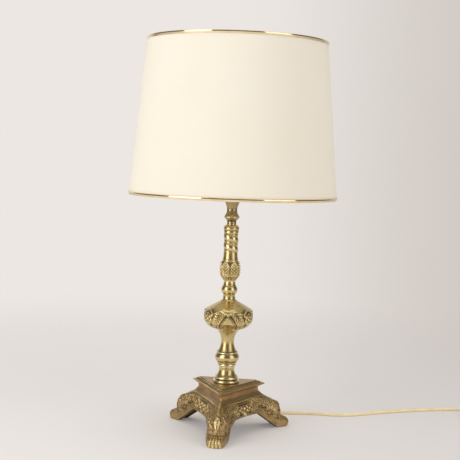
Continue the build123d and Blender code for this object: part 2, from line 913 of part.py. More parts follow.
bottom_trim = trim_ring(shade_bottom)
save(bottom_trim, "bottom_trim")
top_trim = trim_ring(shade_top - trim_height)
save(top_trim, "top_trim")


def wire_reach(height):
    """Radius of a wire ring's centreline that lies just inside the cloth at a height."""
    return shade_radius(height) - shade_wall - glue_line - wire_radius


def wire_ring(level):
    """A ring of wire that lies just inside the cloth at a level."""
    with BuildPart() as ring:
        with BuildSketch(Plane.XZ):
            with Locations((wire_reach(level), level)):
                Circle(wire_radius)
        revolve(axis=Axis.Z)
    return ring


# Wire rings that keep the shade's two edges round
top_ring = wire_ring(shade_top - wire_inset)
save(top_ring, "top_ring")
bottom_ring_level = shade_bottom + wire_inset
bottom_ring = wire_ring(bottom_ring_level)
save(bottom_ring, "bottom_ring")

# Fitter: the flat ring clamped between the lampholder's two screwed rings
with BuildPart() as shade_fitter:
    with BuildSketch(Plane.XY.offset(fitter_bottom)):
        Circle(fitter_radius)
        Circle(fitter_hole, mode=Mode.SUBTRACT)
    extrude(amount=fitter_thickness)
save(shade_fitter, "shade_fitter")

# Arms: three wires welded to the fitter's edge and to the inside of the bottom ring, with their tops no
# higher than the fitter's, so that the upper ring clears them
fitter_level = fitter_bottom + fitter_thickness / 2
bend_level = fitter_bottom + fitter_thickness - wire_radius
bend_reach = ring_radius + wire_radius
with BuildPart() as shade_arms:
    for arm in range(arm_count):
        direction = Vector(0, 1).rotate(Axis.Z, 360 * arm / arm_count)
        root = direction * fitter_radius + Vector(0, 0, fitter_level)
        bend = direction * bend_reach + Vector(0, 0, bend_level)
        rim = direction * wire_reach(bottom_ring_level) + Vector(0, 0, bottom_ring_level)
        with BuildSketch(Plane(origin=root, z_dir=direction)):
            Circle(fitter_thickness / 2)
        extrude(amount=bend_reach + arm_overlap - fitter_radius)
        with BuildSketch(Plane(origin=bend, z_dir=rim - bend)):
            Circle(wire_radius)
        extrude(amount=(rim - bend).length)
    add(bottom_ring.part, mode=Mode.SUBTRACT)
save(shade_arms, "shade_arms")

# Bush in the rear panel with its tapered sleeve, which eases the flex out of the base
sleeve_start = exit_seat + bush_flange
sleeve_end = sleeve_start + sleeve_length
flex_bore = flex_radius + bore_clearance
with BuildPart() as flex_bush:
    with BuildSketch(Plane(origin=(0, 0, flex_exit_height), x_dir=(0, 1, 0), z_dir=(1, 0, 0))):
        with BuildLine():
            Polyline(
                (exit_seat - bush_shank, flex_bore),
                (exit_seat - bush_shank, bush_shank_radius),
                (exit_seat, bush_shank_radius),
                (exit_seat, bush_flange_radius),
                (sleeve_start, bush_flange_radius),
                (sleeve_start, sleeve_root_radius),
                (sleeve_end, sleeve_tip_radius),
                (sleeve_end, flex_bore),
                close=True,
            )
        make_face()
    revolve(axis=Axis(origin=(0, 0, flex_exit_height), direction=(0, 1, 0)))
save(flex_bush, "flex_bush")

# Flex inside the lamp: through the bush, up in one bend and through the tube to the lampholder
inner_top = tube_top + tube_end
with BuildPart() as inner_flex:
    with BuildLine() as inner_route:
        FilletPolyline(
            (0, sleeve_end, flex_exit_height),
            (0, 0, flex_exit_height),
            (0, 0, inner_top),
            radius=inner_bend,
        )
    with BuildSketch(Plane(origin=inner_route.line @ 0, z_dir=inner_route.line % 0)):
        Circle(flex_radius)
    sweep(path=inner_route.line)
save(inner_flex, "inner_flex")

# The flex's two cores, from its stripped end to the terminal screws
core_end = terminal_spacing / 2 - terminal_radius
core_level = shell_bottom - terminal_height / 2
with BuildPart() as flex_cores:
    for side in (-1, 1):
        with BuildLine() as core_route:
            FilletPolyline(
                (side * core_spread, 0, inner_top),
                (side * core_spread, 0, core_level),
                (side * core_end, 0, core_level),
                radius=core_bend,
            )
        with BuildSketch(Plane(origin=core_route.line @ 0, z_dir=core_route.line % 0)):
            Circle(core_radius)
        sweep(path=core_route.line)
save(flex_cores, "flex_cores")


def corner_radii(points):
    """The largest arc that each corner's shorter run leaves room for."""
    radii = []
    for before, corner, after in zip(points, points[1:], points[2:]):
        first = Vector(*corner) - Vector(*before)
        second = Vector(*after) - Vector(*corner)
        half_turn = radians(first.get_angle(second)) / 2
        radii.append(arc_share * min(first.length, second.length) / tan(half_turn))
    return radii


def flex_tube(name, points):
    """A stretch of flex along runs that tangent arcs join; prints its radii and its volume's ratio."""
    radii = corner_radii(points)
    with BuildPart() as tube:
        with BuildLine() as route:
            FilletPolyline(*points, radius=radii)
        line = route.wires()[0]
        with BuildSketch(Plane(origin=line @ 0, z_dir=line % 0)):
            Circle(flex_radius)
        sweep(path=line)
    length = line.length
    print(name, "length", round(length, 1), "radii", [round(radius) for radius in radii])
    print(name, "volume over section times length", tube.part.volume / (pi * flex_radius**2 * length))
    return tube


# Coil of the put-away length: it spirals in, climbs a layer in half a turn and spirals out again
coil_level = tie_thickness + tie_gap + flex_radius
coil_outer_radius = coil_inner_radius + coil_step * (coil_layer_turns + climb_turns / 2)
coil_centre = (coil_entry[0], coil_entry[1] - coil_outer_radius)
coil_turns = 2 * coil_layer_turns + climb_turns


def coil_point(turn):
    """A point of the coil's centreline after some turns, wound clockwise from its +Y side."""
    climb = min(max((turn - coil_layer_turns) / climb_turns, 0), 1)
    reach = coil_inner_radius + coil_step * abs(turn - coil_turns / 2)
    angle = pi / 2 - 2 * pi * turn
    height = coil_level + coil_layer * (1 - cos(pi * climb)) / 2
    return Vector(coil_centre[0] + reach * cos(angle), coil_centre[1] + reach * sin(angle), height)


def coil_heading(turn):
    """The direction of the coil's centreline after some turns."""
    nearby = 0.002
    return (coil_point(turn + nearby) - coil_point(turn - nearby)).normalized()


def biarc(start, start_heading, end, end_heading):
    """Two tangent arcs from start to end that leave and arrive along the given headings."""
    chord = end - start
    both = start_heading + end_heading
    closing = 2 * (1 - start_heading.dot(end_heading))
    along = chord.dot(both)
    reach = (-along + (along**2 + closing * chord.dot(chord)) ** 0.5) / closing
    near = start + start_heading * reach
    far = end - end_heading * reach
    joint = (near + far) * 0.5
    TangentArc(start, joint, tangent=start_heading)
    TangentArc(joint, end, tangent=(far - near).normalized())


spiral_parts = round(4 * coil_layer_turns)
climb_parts = round(4 * climb_turns)
coil_stops = [coil_layer_turns * part / spiral_parts for part in range(spiral_parts)]
coil_stops += [coil_layer_turns + climb_turns * part / climb_parts for part in range(climb_parts)]
coil_stops += [coil_turns - stop for stop in reversed(coil_stops[: spiral_parts + 1])]
coil_start = coil_point(0)
coil_finish = coil_point(coil_turns)
lead = 2 * flex_radius
start_heading = Vector(1, 0, 0)
finish_heading = Vector(0, -1, 0)
with BuildPart() as flex_coil:
    with BuildLine() as winding:
        Line(coil_start - start_heading * lead, coil_start)
        for before, after in zip(coil_stops, coil_stops[1:]):
            first = start_heading if before == 0 else coil_heading(before)
            last = finish_heading if after == coil_turns else coil_heading(after)
            biarc(coil_point(before), first, coil_point(after), last)
        Line(coil_finish, coil_finish + finish_heading * lead)
    with BuildSketch(Plane(origin=coil_start - start_heading * lead, z_dir=start_heading)):
        Circle(flex_radius)
    coil_line = winding.wires()[0]
    sweep(path=coil_line)
save(flex_coil, "flex_coil")

# The coil's least gap to itself, between points more than half a turn apart
coil_length = coil_line.length
gap_points = 900
half_turn_points = int(gap_points * pi * coil_inner_radius / coil_length)
coil_samples = [coil_line.position_at(sample / gap_points) for sample in range(gap_points + 1)]
least_gap = min(
    (coil_samples[i] - coil_samples[j]).length
    for i in range(gap_points + 1)
    for j in range(i + half_turn_points, gap_points + 1)
)
print("flex_coil length", round(coil_length, 1), "least gap to itself", round(least_gap - 2 * flex_radius, 2))
coil_ratio = flex_coil.part.volume / (pi * flex_radius**2 * coil_length)
print("flex_coil volume over section times length", coil_ratio)

# Free stretch of flex from the sleeve along the floor to the coil
run_points = [(0, sleeve_end, flex_exit_height)]
run_points += flex_points
run_points += [tuple(coil_start - start_heading * lead)]
flex_run = flex_tube("flex_run", run_points)
save(flex_run, "flex_run")

# Free stretch from the coil to the plug
plug_level = plug_thickness / 2
tail_start = coil_finish + finish_heading * lead
plug_entry = Vector(tail_start.X, tail_start.Y - plug_gap, plug_level)
tail_bend = tail_start + finish_heading * tail_end_run
plug_bend = plug_entry - finish_heading * tail_end_run
tail_route = [tuple(tail_start), tuple(tail_bend), tuple(plug_bend), tuple(plug_entry)]
flex_tail = flex_tube("flex_tail", tail_route)
save(flex_tail, "flex_tail")

# Tie: a strap once round the coil's turns
tie_direction = Vector(1, 0).rotate(Axis.Z, tie_angle)
bundle_inner = coil_inner_radius - flex_radius
bundle_outer = coil_outer_radius + flex_radius
bundle_width = bundle_outer - bundle_inner
bundle_height = coil_layer + 2 * flex_radius
bundle_middle = Vector(*coil_centre) + tie_direction * (bundle_inner + bundle_outer) / 2
bundle_level = coil_level - flex_radius + bundle_height / 2
tie_plane = Plane(
    origin=(bundle_middle.X, bundle_middle.Y, bundle_level),
    x_dir=tie_direction,
    z_dir=tie_direction.rotate(Axis.Z, -90),
)
with BuildPart() as coil_tie:
    with BuildSketch(tie_plane):
        RectangleRounded(
            bundle_width + 2 * (tie_gap + tie_thickness),
            bundle_height + 2 * (tie_gap + tie_thickness),
            flex_radius + tie_gap + tie_thickness,
        )
        RectangleRounded(
            bundle_width + 2 * tie_gap,
            bundle_height + 2 * tie_gap,
            flex_radius + tie_gap,
            mode=Mode.SUBTRACT,
        )
    extrude(amount=tie_width / 2, both=True)
save(coil_tie, "coil_tie")

# Plug: a flat moulded body with a tapered relief on the flex, and two round pins
body_rear = plug_entry.Y - plug_relief
body_front = body_rear - plug_rear - plug_front
with BuildPart() as plug_body:
    with BuildSketch():
        with BuildLine():
            Polyline(
                (plug_entry.X - plug_rear_width / 2, body_rear),
                (plug_entry.X - plug_width / 2, body_front + plug_front),
                (plug_entry.X - plug_front_width / 2, body_front),
                (plug_entry.X + plug_front_width / 2, body_front),
                (plug_entry.X + plug_width / 2, body_front + plug_front),
                (plug_entry.X + plug_rear_width / 2, body_rear),
                close=True,
            )
        make_face()
    extrude(amount=plug_thickness)
    fillet(plug_body.edges().filter_by(Axis.Z), plug_edge)
    chamfer(plug_body.faces().sort_by(Axis.Z)[-1].edges(), plug_chamfer)
    chamfer(plug_body.faces().sort_by(Axis.Z)[0].edges(), plug_chamfer)
    with BuildSketch(Plane(origin=plug_entry, x_dir=(1, 0, 0), z_dir=(0, -1, 0))):
        Circle(plug_relief_tip)
    with BuildSketch(Plane(origin=(plug_entry.X, body_rear, plug_level), x_dir=(1, 0, 0), z_dir=(0, -1, 0))):
        Circle(plug_relief_root)
    loft()
save(plug_body, "plug_body")

pin_plane = Plane(origin=(plug_entry.X, body_front, plug_level), x_dir=(1, 0, 0), z_dir=(0, -1, 0))
with BuildPart() as plug_pins:
    with BuildSketch(pin_plane):
        with Locations((-pin_spacing / 2, 0), (pin_spacing / 2, 0)):
            Circle(pin_radius)
    extrude(amount=pin_length)
    fillet(plug_pins.edges().group_by(Axis.Y)[0], pin_tip)
save(plug_pins, "plug_pins")
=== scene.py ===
"""Looks of a brass candlestick table lamp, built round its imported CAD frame.

Blender's lengths are metres. Pieces are drawn in millimetres and scaled as their meshes are made.
"""

import math

import bpy
import numpy as np
from mathutils import Matrix


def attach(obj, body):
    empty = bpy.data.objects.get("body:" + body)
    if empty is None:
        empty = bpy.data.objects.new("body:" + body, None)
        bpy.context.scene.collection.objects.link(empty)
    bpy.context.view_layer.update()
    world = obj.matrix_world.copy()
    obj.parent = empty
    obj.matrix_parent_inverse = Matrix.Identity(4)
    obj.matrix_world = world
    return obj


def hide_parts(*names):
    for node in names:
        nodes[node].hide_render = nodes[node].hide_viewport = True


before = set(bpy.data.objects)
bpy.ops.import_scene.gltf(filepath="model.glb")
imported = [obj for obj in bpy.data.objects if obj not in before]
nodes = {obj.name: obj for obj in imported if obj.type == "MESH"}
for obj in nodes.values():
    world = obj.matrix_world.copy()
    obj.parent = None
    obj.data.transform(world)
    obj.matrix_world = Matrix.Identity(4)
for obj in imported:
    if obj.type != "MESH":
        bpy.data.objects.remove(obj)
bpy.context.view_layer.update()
scene = bpy.context.scene
scene.view_settings.view_transform = "Standard"

# Camera: stands 1.43 m in front of the lamp, level with the lower third of its shade, and turned 7.5 degrees
# from the front paw, with the photograph's slight roll.
view_turn = math.radians(7.5)
camera_place = Matrix.Translation((0.001, -1.4272, 0.408))
camera_pan, camera_pitch, camera_roll = 0.002118, -0.081386, 0.034595
lens = bpy.data.cameras.new("camera")
lens.sensor_fit, lens.sensor_width, lens.lens = "HORIZONTAL", 36.0, 78.065
camera = bpy.data.objects.new("camera", lens)
camera.matrix_world = (
    Matrix.Rotation(view_turn, 4, "Z")
    @ camera_place
    @ Matrix.Rotation(camera_pan, 4, "Z")
    @ Matrix.Rotation(math.pi / 2 + camera_pitch, 4, "X")
    @ Matrix.Rotation(camera_roll, 4, "Z")
)
scene.collection.objects.link(camera)
scene.camera = camera

# Base: a hollow brass casting on three lion paws, chased with acanthus and left brown in its hollows,
# with the high spots rubbed bright. The tube's nut pulls it up against the cap.
MM = 0.001


def colour(red, green, blue):
    """A paint mixer's 0 to 255 values as the linear colour that a shader takes."""
    share = np.array([red, green, blue]) / 255
    linear = np.where(share <= 0.04045, share / 12.92, ((share + 0.055) / 1.055) ** 2.4)
    return (*linear.tolist(), 1.0)


def link(tree, kind, settings=None, **sockets):
    """A new shader node. A socket takes a value or another node's output; _6 names the one numbered 6."""
    node = tree.nodes.new(kind)
    for name, value in (settings or {}).items():
        setattr(node, name, value)
    for name, value in sockets.items():
        socket = node.inputs[int(name[1:]) if name[1:].isdigit() else name.replace("_", " ")]
        if isinstance(value, bpy.types.NodeSocket):
            tree.links.new(value, socket)
        else:
            socket.default_value = value
    return node


def worked(tree, operation, *values):
    """The result of a Math node, whose sockets take the values in order."""
    sockets = {f"_{k}": value for k, value in enumerate(values)}
    return link(tree, "ShaderNodeMath", {"operation": operation}, **sockets).outputs[0]


def blend(tree, share, low, high):
    """A colour that goes from low to high as the share goes from 0 to 1."""
    return link(tree, "ShaderNodeMix", {"data_type": "RGBA"}, _0=share, _6=low, _7=high).outputs[2]


def ramp(tree, value, low, high):
    """A soft step of a value from 0 at low to 1 at high."""
    soft = {"interpolation_type": "SMOOTHSTEP"}
    return link(tree, "ShaderNodeMapRange", soft, Value=value, From_Min=low, From_Max=high).outputs["Result"]


def mottle(tree, place, scale, detail, rough=0.5):
    """A cloudy noise round 0.5."""
    noise = link(tree, "ShaderNodeTexNoise", Vector=place, Scale=scale, Detail=detail, Roughness=rough)
    return noise.outputs["Fac"]


def finish_named(name, **values):
    """A new material with its Principled shader, whose plain sockets take the values."""
    material = bpy.data.materials.new(name)
    material.use_nodes = True
    shader = material.node_tree.nodes["Principled BSDF"]
    for socket, value in values.items():
        shader.inputs[socket.replace("_", " ")].default_value = value
    return material, material.node_tree, shader


def feed(tree, shader, **outputs):
    """Links outputs of other nodes to the shader's sockets."""
    for socket, output in outputs.items():
        tree.links.new(output, shader.inputs[socket.replace("_", " ")])


def patina_group():
    """Brass that has aged: hollows keep a dark film, high spots are rubbed bright, and blotches shift both.

    Worn runs from 0 in a hollow to 1 on a rubbed edge. Noise moves it, and three colours follow it.
    """
    group = bpy.data.node_groups.new("patina", "ShaderNodeTree")
    values = {"Worn": 0.5, "Blotch": 60.0, "Drift": 0.55, "Grain": 900.0, "Dull": 0.5, "Shine": 0.22}
    for name, value in values.items():
        group.interface.new_socket(name, in_out="INPUT", socket_type="NodeSocketFloat").default_value = value
    for name in ("Hollow", "Body", "Bright"):
        group.interface.new_socket(name, in_out="INPUT", socket_type="NodeSocketColor")
    for name, kind in (("Color", "Color"), ("Roughness", "Float"), ("Height", "Float")):
        group.interface.new_socket(name, in_out="OUTPUT", socket_type="NodeSocket" + kind)
    given = group.nodes.new("NodeGroupInput").outputs
    place = link(group, "ShaderNodeTexCoord").outputs["Object"]
    blotch = mottle(group, place, given["Blotch"], 4.0, 0.6)
    grain = mottle(group, place, given["Grain"], 3.0, 0.7)
    drift = worked(group, "SUBTRACT", blotch, 0.5)
    worn = worked(group, "MULTIPLY_ADD", drift, given["Drift"], given["Worn"])
    film = blend(group, ramp(group, worn, 0.12, 0.46), given["Hollow"], given["Body"])
    metal = blend(group, ramp(group, worn, 0.52, 0.86), film, given["Bright"])
    polish = ramp(group, worn, 0.2, 0.8)
    rough = link(group, "ShaderNodeMix", _0=polish, _2=given["Dull"], _3=given["Shine"]).outputs[0]
    rough = worked(group, "MULTIPLY_ADD", worked(group, "SUBTRACT", grain, 0.5), 0.16, rough)
    out = group.nodes.new("NodeGroupOutput")
    feed(group, out, Color=metal, Roughness=rough, Height=grain)
    return group


patina = patina_group()


def brass(name, tones, pits, worn="worn", **age):
    """Aged brass in a hollow, a body and a bright tone, roughened by a fine grain of pits metres.

    The patina follows the point attribute that worn names, if it names one.
    """
    material, tree, shader = finish_named(name, Metallic=1.0)
    age.update(zip(("Hollow", "Body", "Bright"), (colour(*tone) for tone in tones)))
    if worn:
        age["Worn"] = link(tree, "ShaderNodeAttribute", {"attribute_name": worn}).outputs["Fac"]
    aged = link(tree, "ShaderNodeGroup", {"node_tree": patina}, **age).outputs
    bump = link(tree, "ShaderNodeBump", Height=aged["Height"], Distance=pits).outputs["Normal"]
    feed(tree, shader, Base_Color=aged["Color"], Roughness=aged["Roughness"], Normal=bump)
    return material


def skin(name, points, material, slot, stands_for, body="stand", **marks):
    """A mesh over a closed grid of points in mm: four-sided faces between neighbouring rows and columns.

    The last row joins the first, and the last column the first. The faces are turned over if the volume that
    they enclose comes out negative, so that they point out. marks are point attributes.
    """
    rows, columns = points.shape[:2]
    corner = np.arange(rows * columns).reshape(rows, columns)
    right, above = np.roll(corner, -1, 1), np.roll(corner, -1, 0)
    quads = np.stack([corner, right, np.roll(right, -1, 0), above], -1).reshape(-1, 4)
    spot = points.reshape(-1, 3)[quads]
    if (np.cross(spot[:, 1] - spot[:, 0], spot[:, 3] - spot[:, 0]) * spot[:, 0]).sum() < 0:
        quads = quads[:, ::-1]
    mesh = bpy.data.meshes.new(name)
    mesh.vertices.add(rows * columns)
    mesh.vertices.foreach_set("co", (points * MM).astype(np.float32).ravel())
    mesh.loops.add(quads.size)
    mesh.loops.foreach_set("vertex_index", quads.astype(np.int32).ravel())
    mesh.polygons.add(len(quads))
    mesh.polygons.foreach_set("loop_start", np.arange(0, quads.size, 4, dtype=np.int32))
    mesh.update(calc_edges=True)
    mesh.shade_smooth()
    for mark, values in marks.items():
        layer = mesh.attributes.new(mark, "FLOAT", "POINT")
        layer.data.foreach_set("value", values.astype(np.float32).ravel())
    mesh.materials.append(material)
    piece = bpy.data.objects.new(name, mesh)
    scene.collection.objects.link(piece)
    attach(piece, body)
    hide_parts(stands_for)
    return piece


def onset(value, start, end):
    """A straight step of a value: 0 up to start, 1 from end on."""
    return np.clip((value - start) / (end - start), 0, 1)


def hump(value, middle, width):
    """A bell of height 1, exp of minus the square of the distance from the middle in widths."""
    return np.exp(-(((value - middle) / width) ** 2))


def dome(value, middle, width):
    """Half an ellipse of height 1 over the middle, with width on either side."""
    return np.sqrt(np.clip(1 - ((value - middle) / width) ** 2, 0, 1))


def folded(angle, count):
    """The angle's distance from the nearest of count directions, which lie evenly round the axis from 0."""
    return np.abs((angle + math.pi / count) % (2 * math.pi / count) - math.pi / count)


def cubic(t, start, end, leaving, arriving):
    """A cubic piece from start to end as t goes from 0 to 1, with its slopes where it leaves and arrives."""
    lower = start * (2 * t**3 - 3 * t**2 + 1) + leaving * (t**3 - 2 * t**2 + t)
    return lower + end * (3 * t**2 - 2 * t**3) + arriving * (t**3 - t**2)


def between(height, heights, values):
    """Values at stations carried smoothly between them: cubic pieces with the slope of their neighbours."""
    slope = np.gradient(values, heights)
    k = np.clip(np.searchsorted(heights, height, side="right") - 1, 0, len(heights) - 2)
    span = heights[k + 1] - heights[k]
    return cubic((height - heights[k]) / span, values[k], values[k + 1], slope[k] * span, slope[k + 1] * span)


def turned_by(angle, x, y):
    """The x and y of points after a turn about the axis."""
    return x * math.cos(angle) - y * math.sin(angle), x * math.sin(angle) + y * math.cos(angle)


def three_sided(corner, half_width, panel, splay, share):
    """A third of the base's outline at the front leg, in mm: share 0 to 1 is the round nose, 1 to 2 the side.

    The nose is an arc across the leg that bulges by 0.35 of its half width. The side is a curve of two cubic
    pieces, which leaves the leg at the angle splay, passes the panel's distance and meets the next leg.
    """
    bulge = 0.35
    half_arc = 2 * math.atan(bulge)
    arc = half_width / math.sin(half_arc)
    angle = (2 * np.clip(share, 0, 1) - 1) * half_arc
    nose_x = arc * np.sin(angle)
    nose_y = -(corner + bulge * half_width - arc * (1 - np.cos(angle)))
    turn = math.radians(120)
    end = np.stack([half_width, -corner])
    next_start = np.stack(turned_by(turn, -half_width, -corner))
    middle = np.stack(turned_by(turn / 2, 0, -panel))
    lean = np.radians(splay)
    leaving = np.stack([np.sin(lean), np.cos(lean)])
    arriving = np.stack([np.sin(turn + lean), -np.cos(turn + lean)])
    run = np.hypot(*(middle - end))
    mid_slope = (3 * (next_start - end) / run - leaving - arriving) / 4
    s = np.clip(share - 1, 0, 1) * 2
    first = s <= 1
    t = np.where(first, s, s - 1)
    a, b = np.where(first, end, middle), np.where(first, middle, next_start)
    da, db = np.where(first, leaving, mid_slope) * run, np.where(first, mid_slope, arriving) * run
    side_x, side_y = cubic(t, a, b, da, db)
    on_nose = share <= 1
    return np.where(on_nose, nose_x, side_x), np.where(on_nose, nose_y, side_y)


def bent(s, root, bend, tip):
    """A quadratic curve from root to tip as s goes from 0 to 1, drawn towards bend."""
    return root * (1 - s) ** 2 + 2 * bend * s * (1 - s) + tip * s**2


def strands(across, up, curves):
    """Raised strands on a flat drawing in mm. A curve is a root, a bend, a tip, a width and a rise.

    A strand swells to its width near its root and tapers to its tip; its section is a half ellipse.
    """
    height = np.zeros_like(across)
    s = np.linspace(0, 1, 28)
    swell = np.interp(s, [0, 0.3, 1], [0.65, 1, 0.3])
    for root, bend, tip, width, rise in curves:
        line_x, line_y = (bent(s, root[k], bend[k], tip[k]) for k in (0, 1))
        gap = ((across[..., None] - line_x) ** 2 + (up[..., None] - line_y) ** 2) / (width * swell) ** 2
        height = np.maximum(height, rise * np.sqrt(np.clip(1 - gap.min(-1), 0, 1)))
    return height


def frond(root, bend, tip, pairs, length, width, rise, sides=(1, -1)):
    """The strands of an acanthus leaf: a bent rib, and leaflets that lean forwards and shorten to its tip."""
    root, bend, tip = np.array(root, float), np.array(bend, float), np.array(tip, float)
    curves = [(root, bend, tip, width, rise)]
    for s in (np.arange(pairs) + 0.5) / pairs:
        at = bent(s, root, bend, tip)
        along = (bend - root) * (1 - s) + (tip - bend) * s
        along = along / np.hypot(*along)
        size = length * (1 - 0.55 * s)
        for side in sides:
            aside = side * np.array([-along[1], along[0]])
            leaflet_bend, leaflet_tip = 0.45 * along + 0.6 * aside, 0.95 * along + 0.65 * aside
            curves.append((at, at + size * leaflet_bend, at + size * leaflet_tip, width, rise))
    return curves


def bead(across, up, centre, half_x, half_y, rise):
    """A domed oval boss: a half ellipsoid of the given half sizes and rise."""
    gap = ((across - centre[0]) / half_x) ** 2 + ((up - centre[1]) / half_y) ** 2
    return rise * np.sqrt(np.clip(1 - gap, 0, 1))


def curl(across, up, centre, radius, width, rise):
    """A leaf tip curled round a bead: a raised ring whose section is a half ellipse, and the bead."""
    ring = rise * dome(np.hypot(across - centre[0], up - centre[1]), radius, width)
    return np.maximum(ring, bead(across, up, centre, 0.45 * radius, 0.45 * radius, 1.2 * rise))


def stipple(across, up, pitch, rise):
    """Punched ground: one dot in each square of a lattice, shifted by a repeatable scatter of its place."""
    height = np.zeros_like(across)
    for step_x in (-1, 0, 1):
        for step_y in (-1, 0, 1):
            column, row = np.floor(across / pitch) + step_x, np.floor(up / pitch) + step_y
            waves = np.sin(column * 12.99 + row * 78.23), np.sin(column * 39.35 + row * 11.14)
            scatter = np.stack(waves) * 43758.5
            shift = 0.25 + 0.5 * (scatter - np.floor(scatter))
            spot = (column + shift[0]) * pitch, (row + shift[1]) * pitch
            height = np.maximum(height, bead(across, up, spot, 0.5 * pitch, 0.42 * pitch, rise))
    return height


def raised(points, relief):
    """A grid of points moved out by a relief, along unit normals across its columns and rows."""
    along, up = np.roll(points, -1, 1) - np.roll(points, 1, 1), np.gradient(points, axis=0)
    normal = np.cross(along, up)
    normal = normal / np.maximum(np.linalg.norm(normal, axis=-1, keepdims=True), 1e-9)
    return points + normal * relief[..., None]


base_height, roof, bore = 61.0, 5.0, 5.2
station_height = np.array([0, 4, 10, 16, 25, 32, 38.5, 43, 48, 55, 61.0])
station_corner = np.array([93, 95, 94, 84, 81.5, 78.5, 72.5, 64, 56, 50, 50.0])
station_half = np.array([11, 12.4, 12, 11.4, 12.3, 12, 9, 6, 3.5, 2, 2.0])
station_panel = np.array([37.5, 37.5, 37.5, 37.5, 37.5, 35.8, 33.7, 31.5, 28.8, 26.4, 26.4])
station_splay = np.array([6, 6, 6, 6, 6, 6, 15, 15, 29, 29, 29.0])
base_wall, heel, inner_top, chased_top = 4.5, 79.0, 55.0, 47.0
arch_half, arch_flat, arch_high, arch_soft = 63.5, 30.0, 26.0, 1.6
nose_columns, side_columns, chased_rows, neck_rows, inner_rows = 56, 204, 84, 16, 14


def base_outline(height, share, inner):
    """Points of the outer or inner wall of a third at each height and share of the outline."""
    level = height * inner_top / (base_height - roof) if inner else height
    stations = station_corner, station_half, station_panel, station_splay
    corner, half, panel, splay = (between(level, station_height, values) for values in stations)
    if inner:
        corner = np.minimum(corner - 2 * base_wall, heel)
        half = np.maximum(half - base_wall, 2.0)
        panel = panel - base_wall
    return three_sided(corner, half, panel, splay, share)


def arch_top(aside):
    """Height of the arch between two legs at a distance aside from its middle: a flat top between two slopes.

    The lesser of the two is taken softly, as -k log(exp(-slope / k) + exp(-top / k)), for round corners.
    """
    slope = np.clip((arch_half - aside) * arch_high / (arch_half - arch_flat), 0, None)
    lesser = -arch_soft * np.log(np.exp(-slope / arch_soft) + math.exp(-arch_high / arch_soft))
    return np.clip(lesser, 0, arch_high)


def lower_edge(share, inner):
    """Height at which each column of the wall meets the arch: the highest level that is still inside it."""
    level = np.linspace(0, arch_high + 1, 271)[:, None] + 0 * share
    x, y = base_outline(level, share + 0 * level, inner)
    to_next, to_before = (np.abs(x * 0.5 + side * y * math.sqrt(0.75)) for side in (1, -1))
    aside = np.where(x >= 0, to_next, to_before)
    return np.where(level < arch_top(aside), level, 0).max(0)


def thirds(x, y, z):
    """A third of the base repeated round the axis, as one closed grid."""
    parts = [np.stack([*turned_by(math.radians(turn), x, y), z], -1) for turn in (0, 120, 240)]
    return np.concatenate(parts, axis=1)


def spokes(rim, radius, level, steps=6):
    """Rows from a rim straight in to a round bore at one level."""
    hub = rim[:, :2] / np.linalg.norm(rim[:, :2], axis=1, keepdims=True) * radius
    t = np.linspace(0, 1, steps)[:, None, None]
    flat = rim[:, :2] * (1 - t) + hub * t
    return np.concatenate([flat, np.full((*flat.shape[:2], 1), level)], -1)


def kernel(reach):
    """The weights of a running average over reach points on either side: a raised cosine that sums to 1."""
    weight = np.hanning(2 * reach + 3)[1:-1]
    return weight / weight.sum()


def eased(points, reach, share_of_ease):
    """A closed grid with its upright edges rounded: a running average along its rows, mixed in by a share."""
    smooth = sum(weight * np.roll(points, k - reach, 1) for k, weight in enumerate(kernel(reach)))
    return points + (smooth - points) * share_of_ease[..., None]


share = np.concatenate(
    [np.linspace(0, 1, nose_columns, endpoint=False), np.linspace(1, 2, side_columns, endpoint=False)]
)
foot_line, inner_line = lower_edge(share, False), lower_edge(share, True)
chased_climb = np.linspace(0, 1, chased_rows)[:, None]
neck_climb = np.linspace(0, 1, neck_rows + 1)[1:, None] + 0 * share
inner_climb = np.linspace(1, 0, inner_rows)[:, None]
chased_z = foot_line + (chased_top - foot_line) * chased_climb
outer_z = np.concatenate([chased_z, chased_top + (base_height - chased_top) * neck_climb])
outer_x, outer_y = base_outline(outer_z, share + 0 * outer_z, False)
inner_z = inner_line + (base_height - roof - inner_line) * inner_climb
inner_x, inner_y = base_outline(inner_z, share + 0 * inner_z, True)
base_inner = thirds(inner_x, inner_y, inner_z)
nose_ease, side_ease = 0.22, 0.06
to_nose_end = np.abs(share - 1) / np.where(share > 1, side_ease, nose_ease)
to_third_end = np.minimum(share / nose_ease, (2 - share) / side_ease)
ease_share = hump(np.minimum(to_nose_end, to_third_end), 0, 1) * onset(outer_z, 44, 36)
base_outer = eased(thirds(outer_x, outer_y, outer_z), 8, np.hstack([ease_share] * 3))

# The relief is drawn once, on half a panel and half a leg: from_middle runs from the panel's middle towards
# the leg, and from_leg from the leg's own middle. Folding the angle repeats it six times round the base.
fold = folded(np.arctan2(outer_x, -outer_y), 3)
reach = np.hypot(outer_x, outer_y)
from_leg = reach * np.sin(fold)
from_middle = reach * np.sin(math.pi / 3 - fold)
edge_gap = outer_z - foot_line
band_wide = 8.0 * onset(foot_line, 25.5, 21.5)
beside_band = onset(edge_gap - band_wide, 0, 1.5)

feathers = []
for k in range(3):
    feathers.append(((24, 33 - 3.2 * k), (38 - 3 * k, 34 - 3.4 * k), (47 - 4 * k, 16 + 2.4 * k), 1.4, 1.2))
high_frond = frond((16, 45.0), (42, 47.5), (64, 36.5), 8, 6.4, 1.4, 1.6, sides=(-1,))
low_frond = frond((46, 33.5), (54, 34.5), (61, 23), 4, 5.0, 1.4, 1.5)
panel_relief = strands(from_middle, outer_z, feathers + high_frond + low_frond)
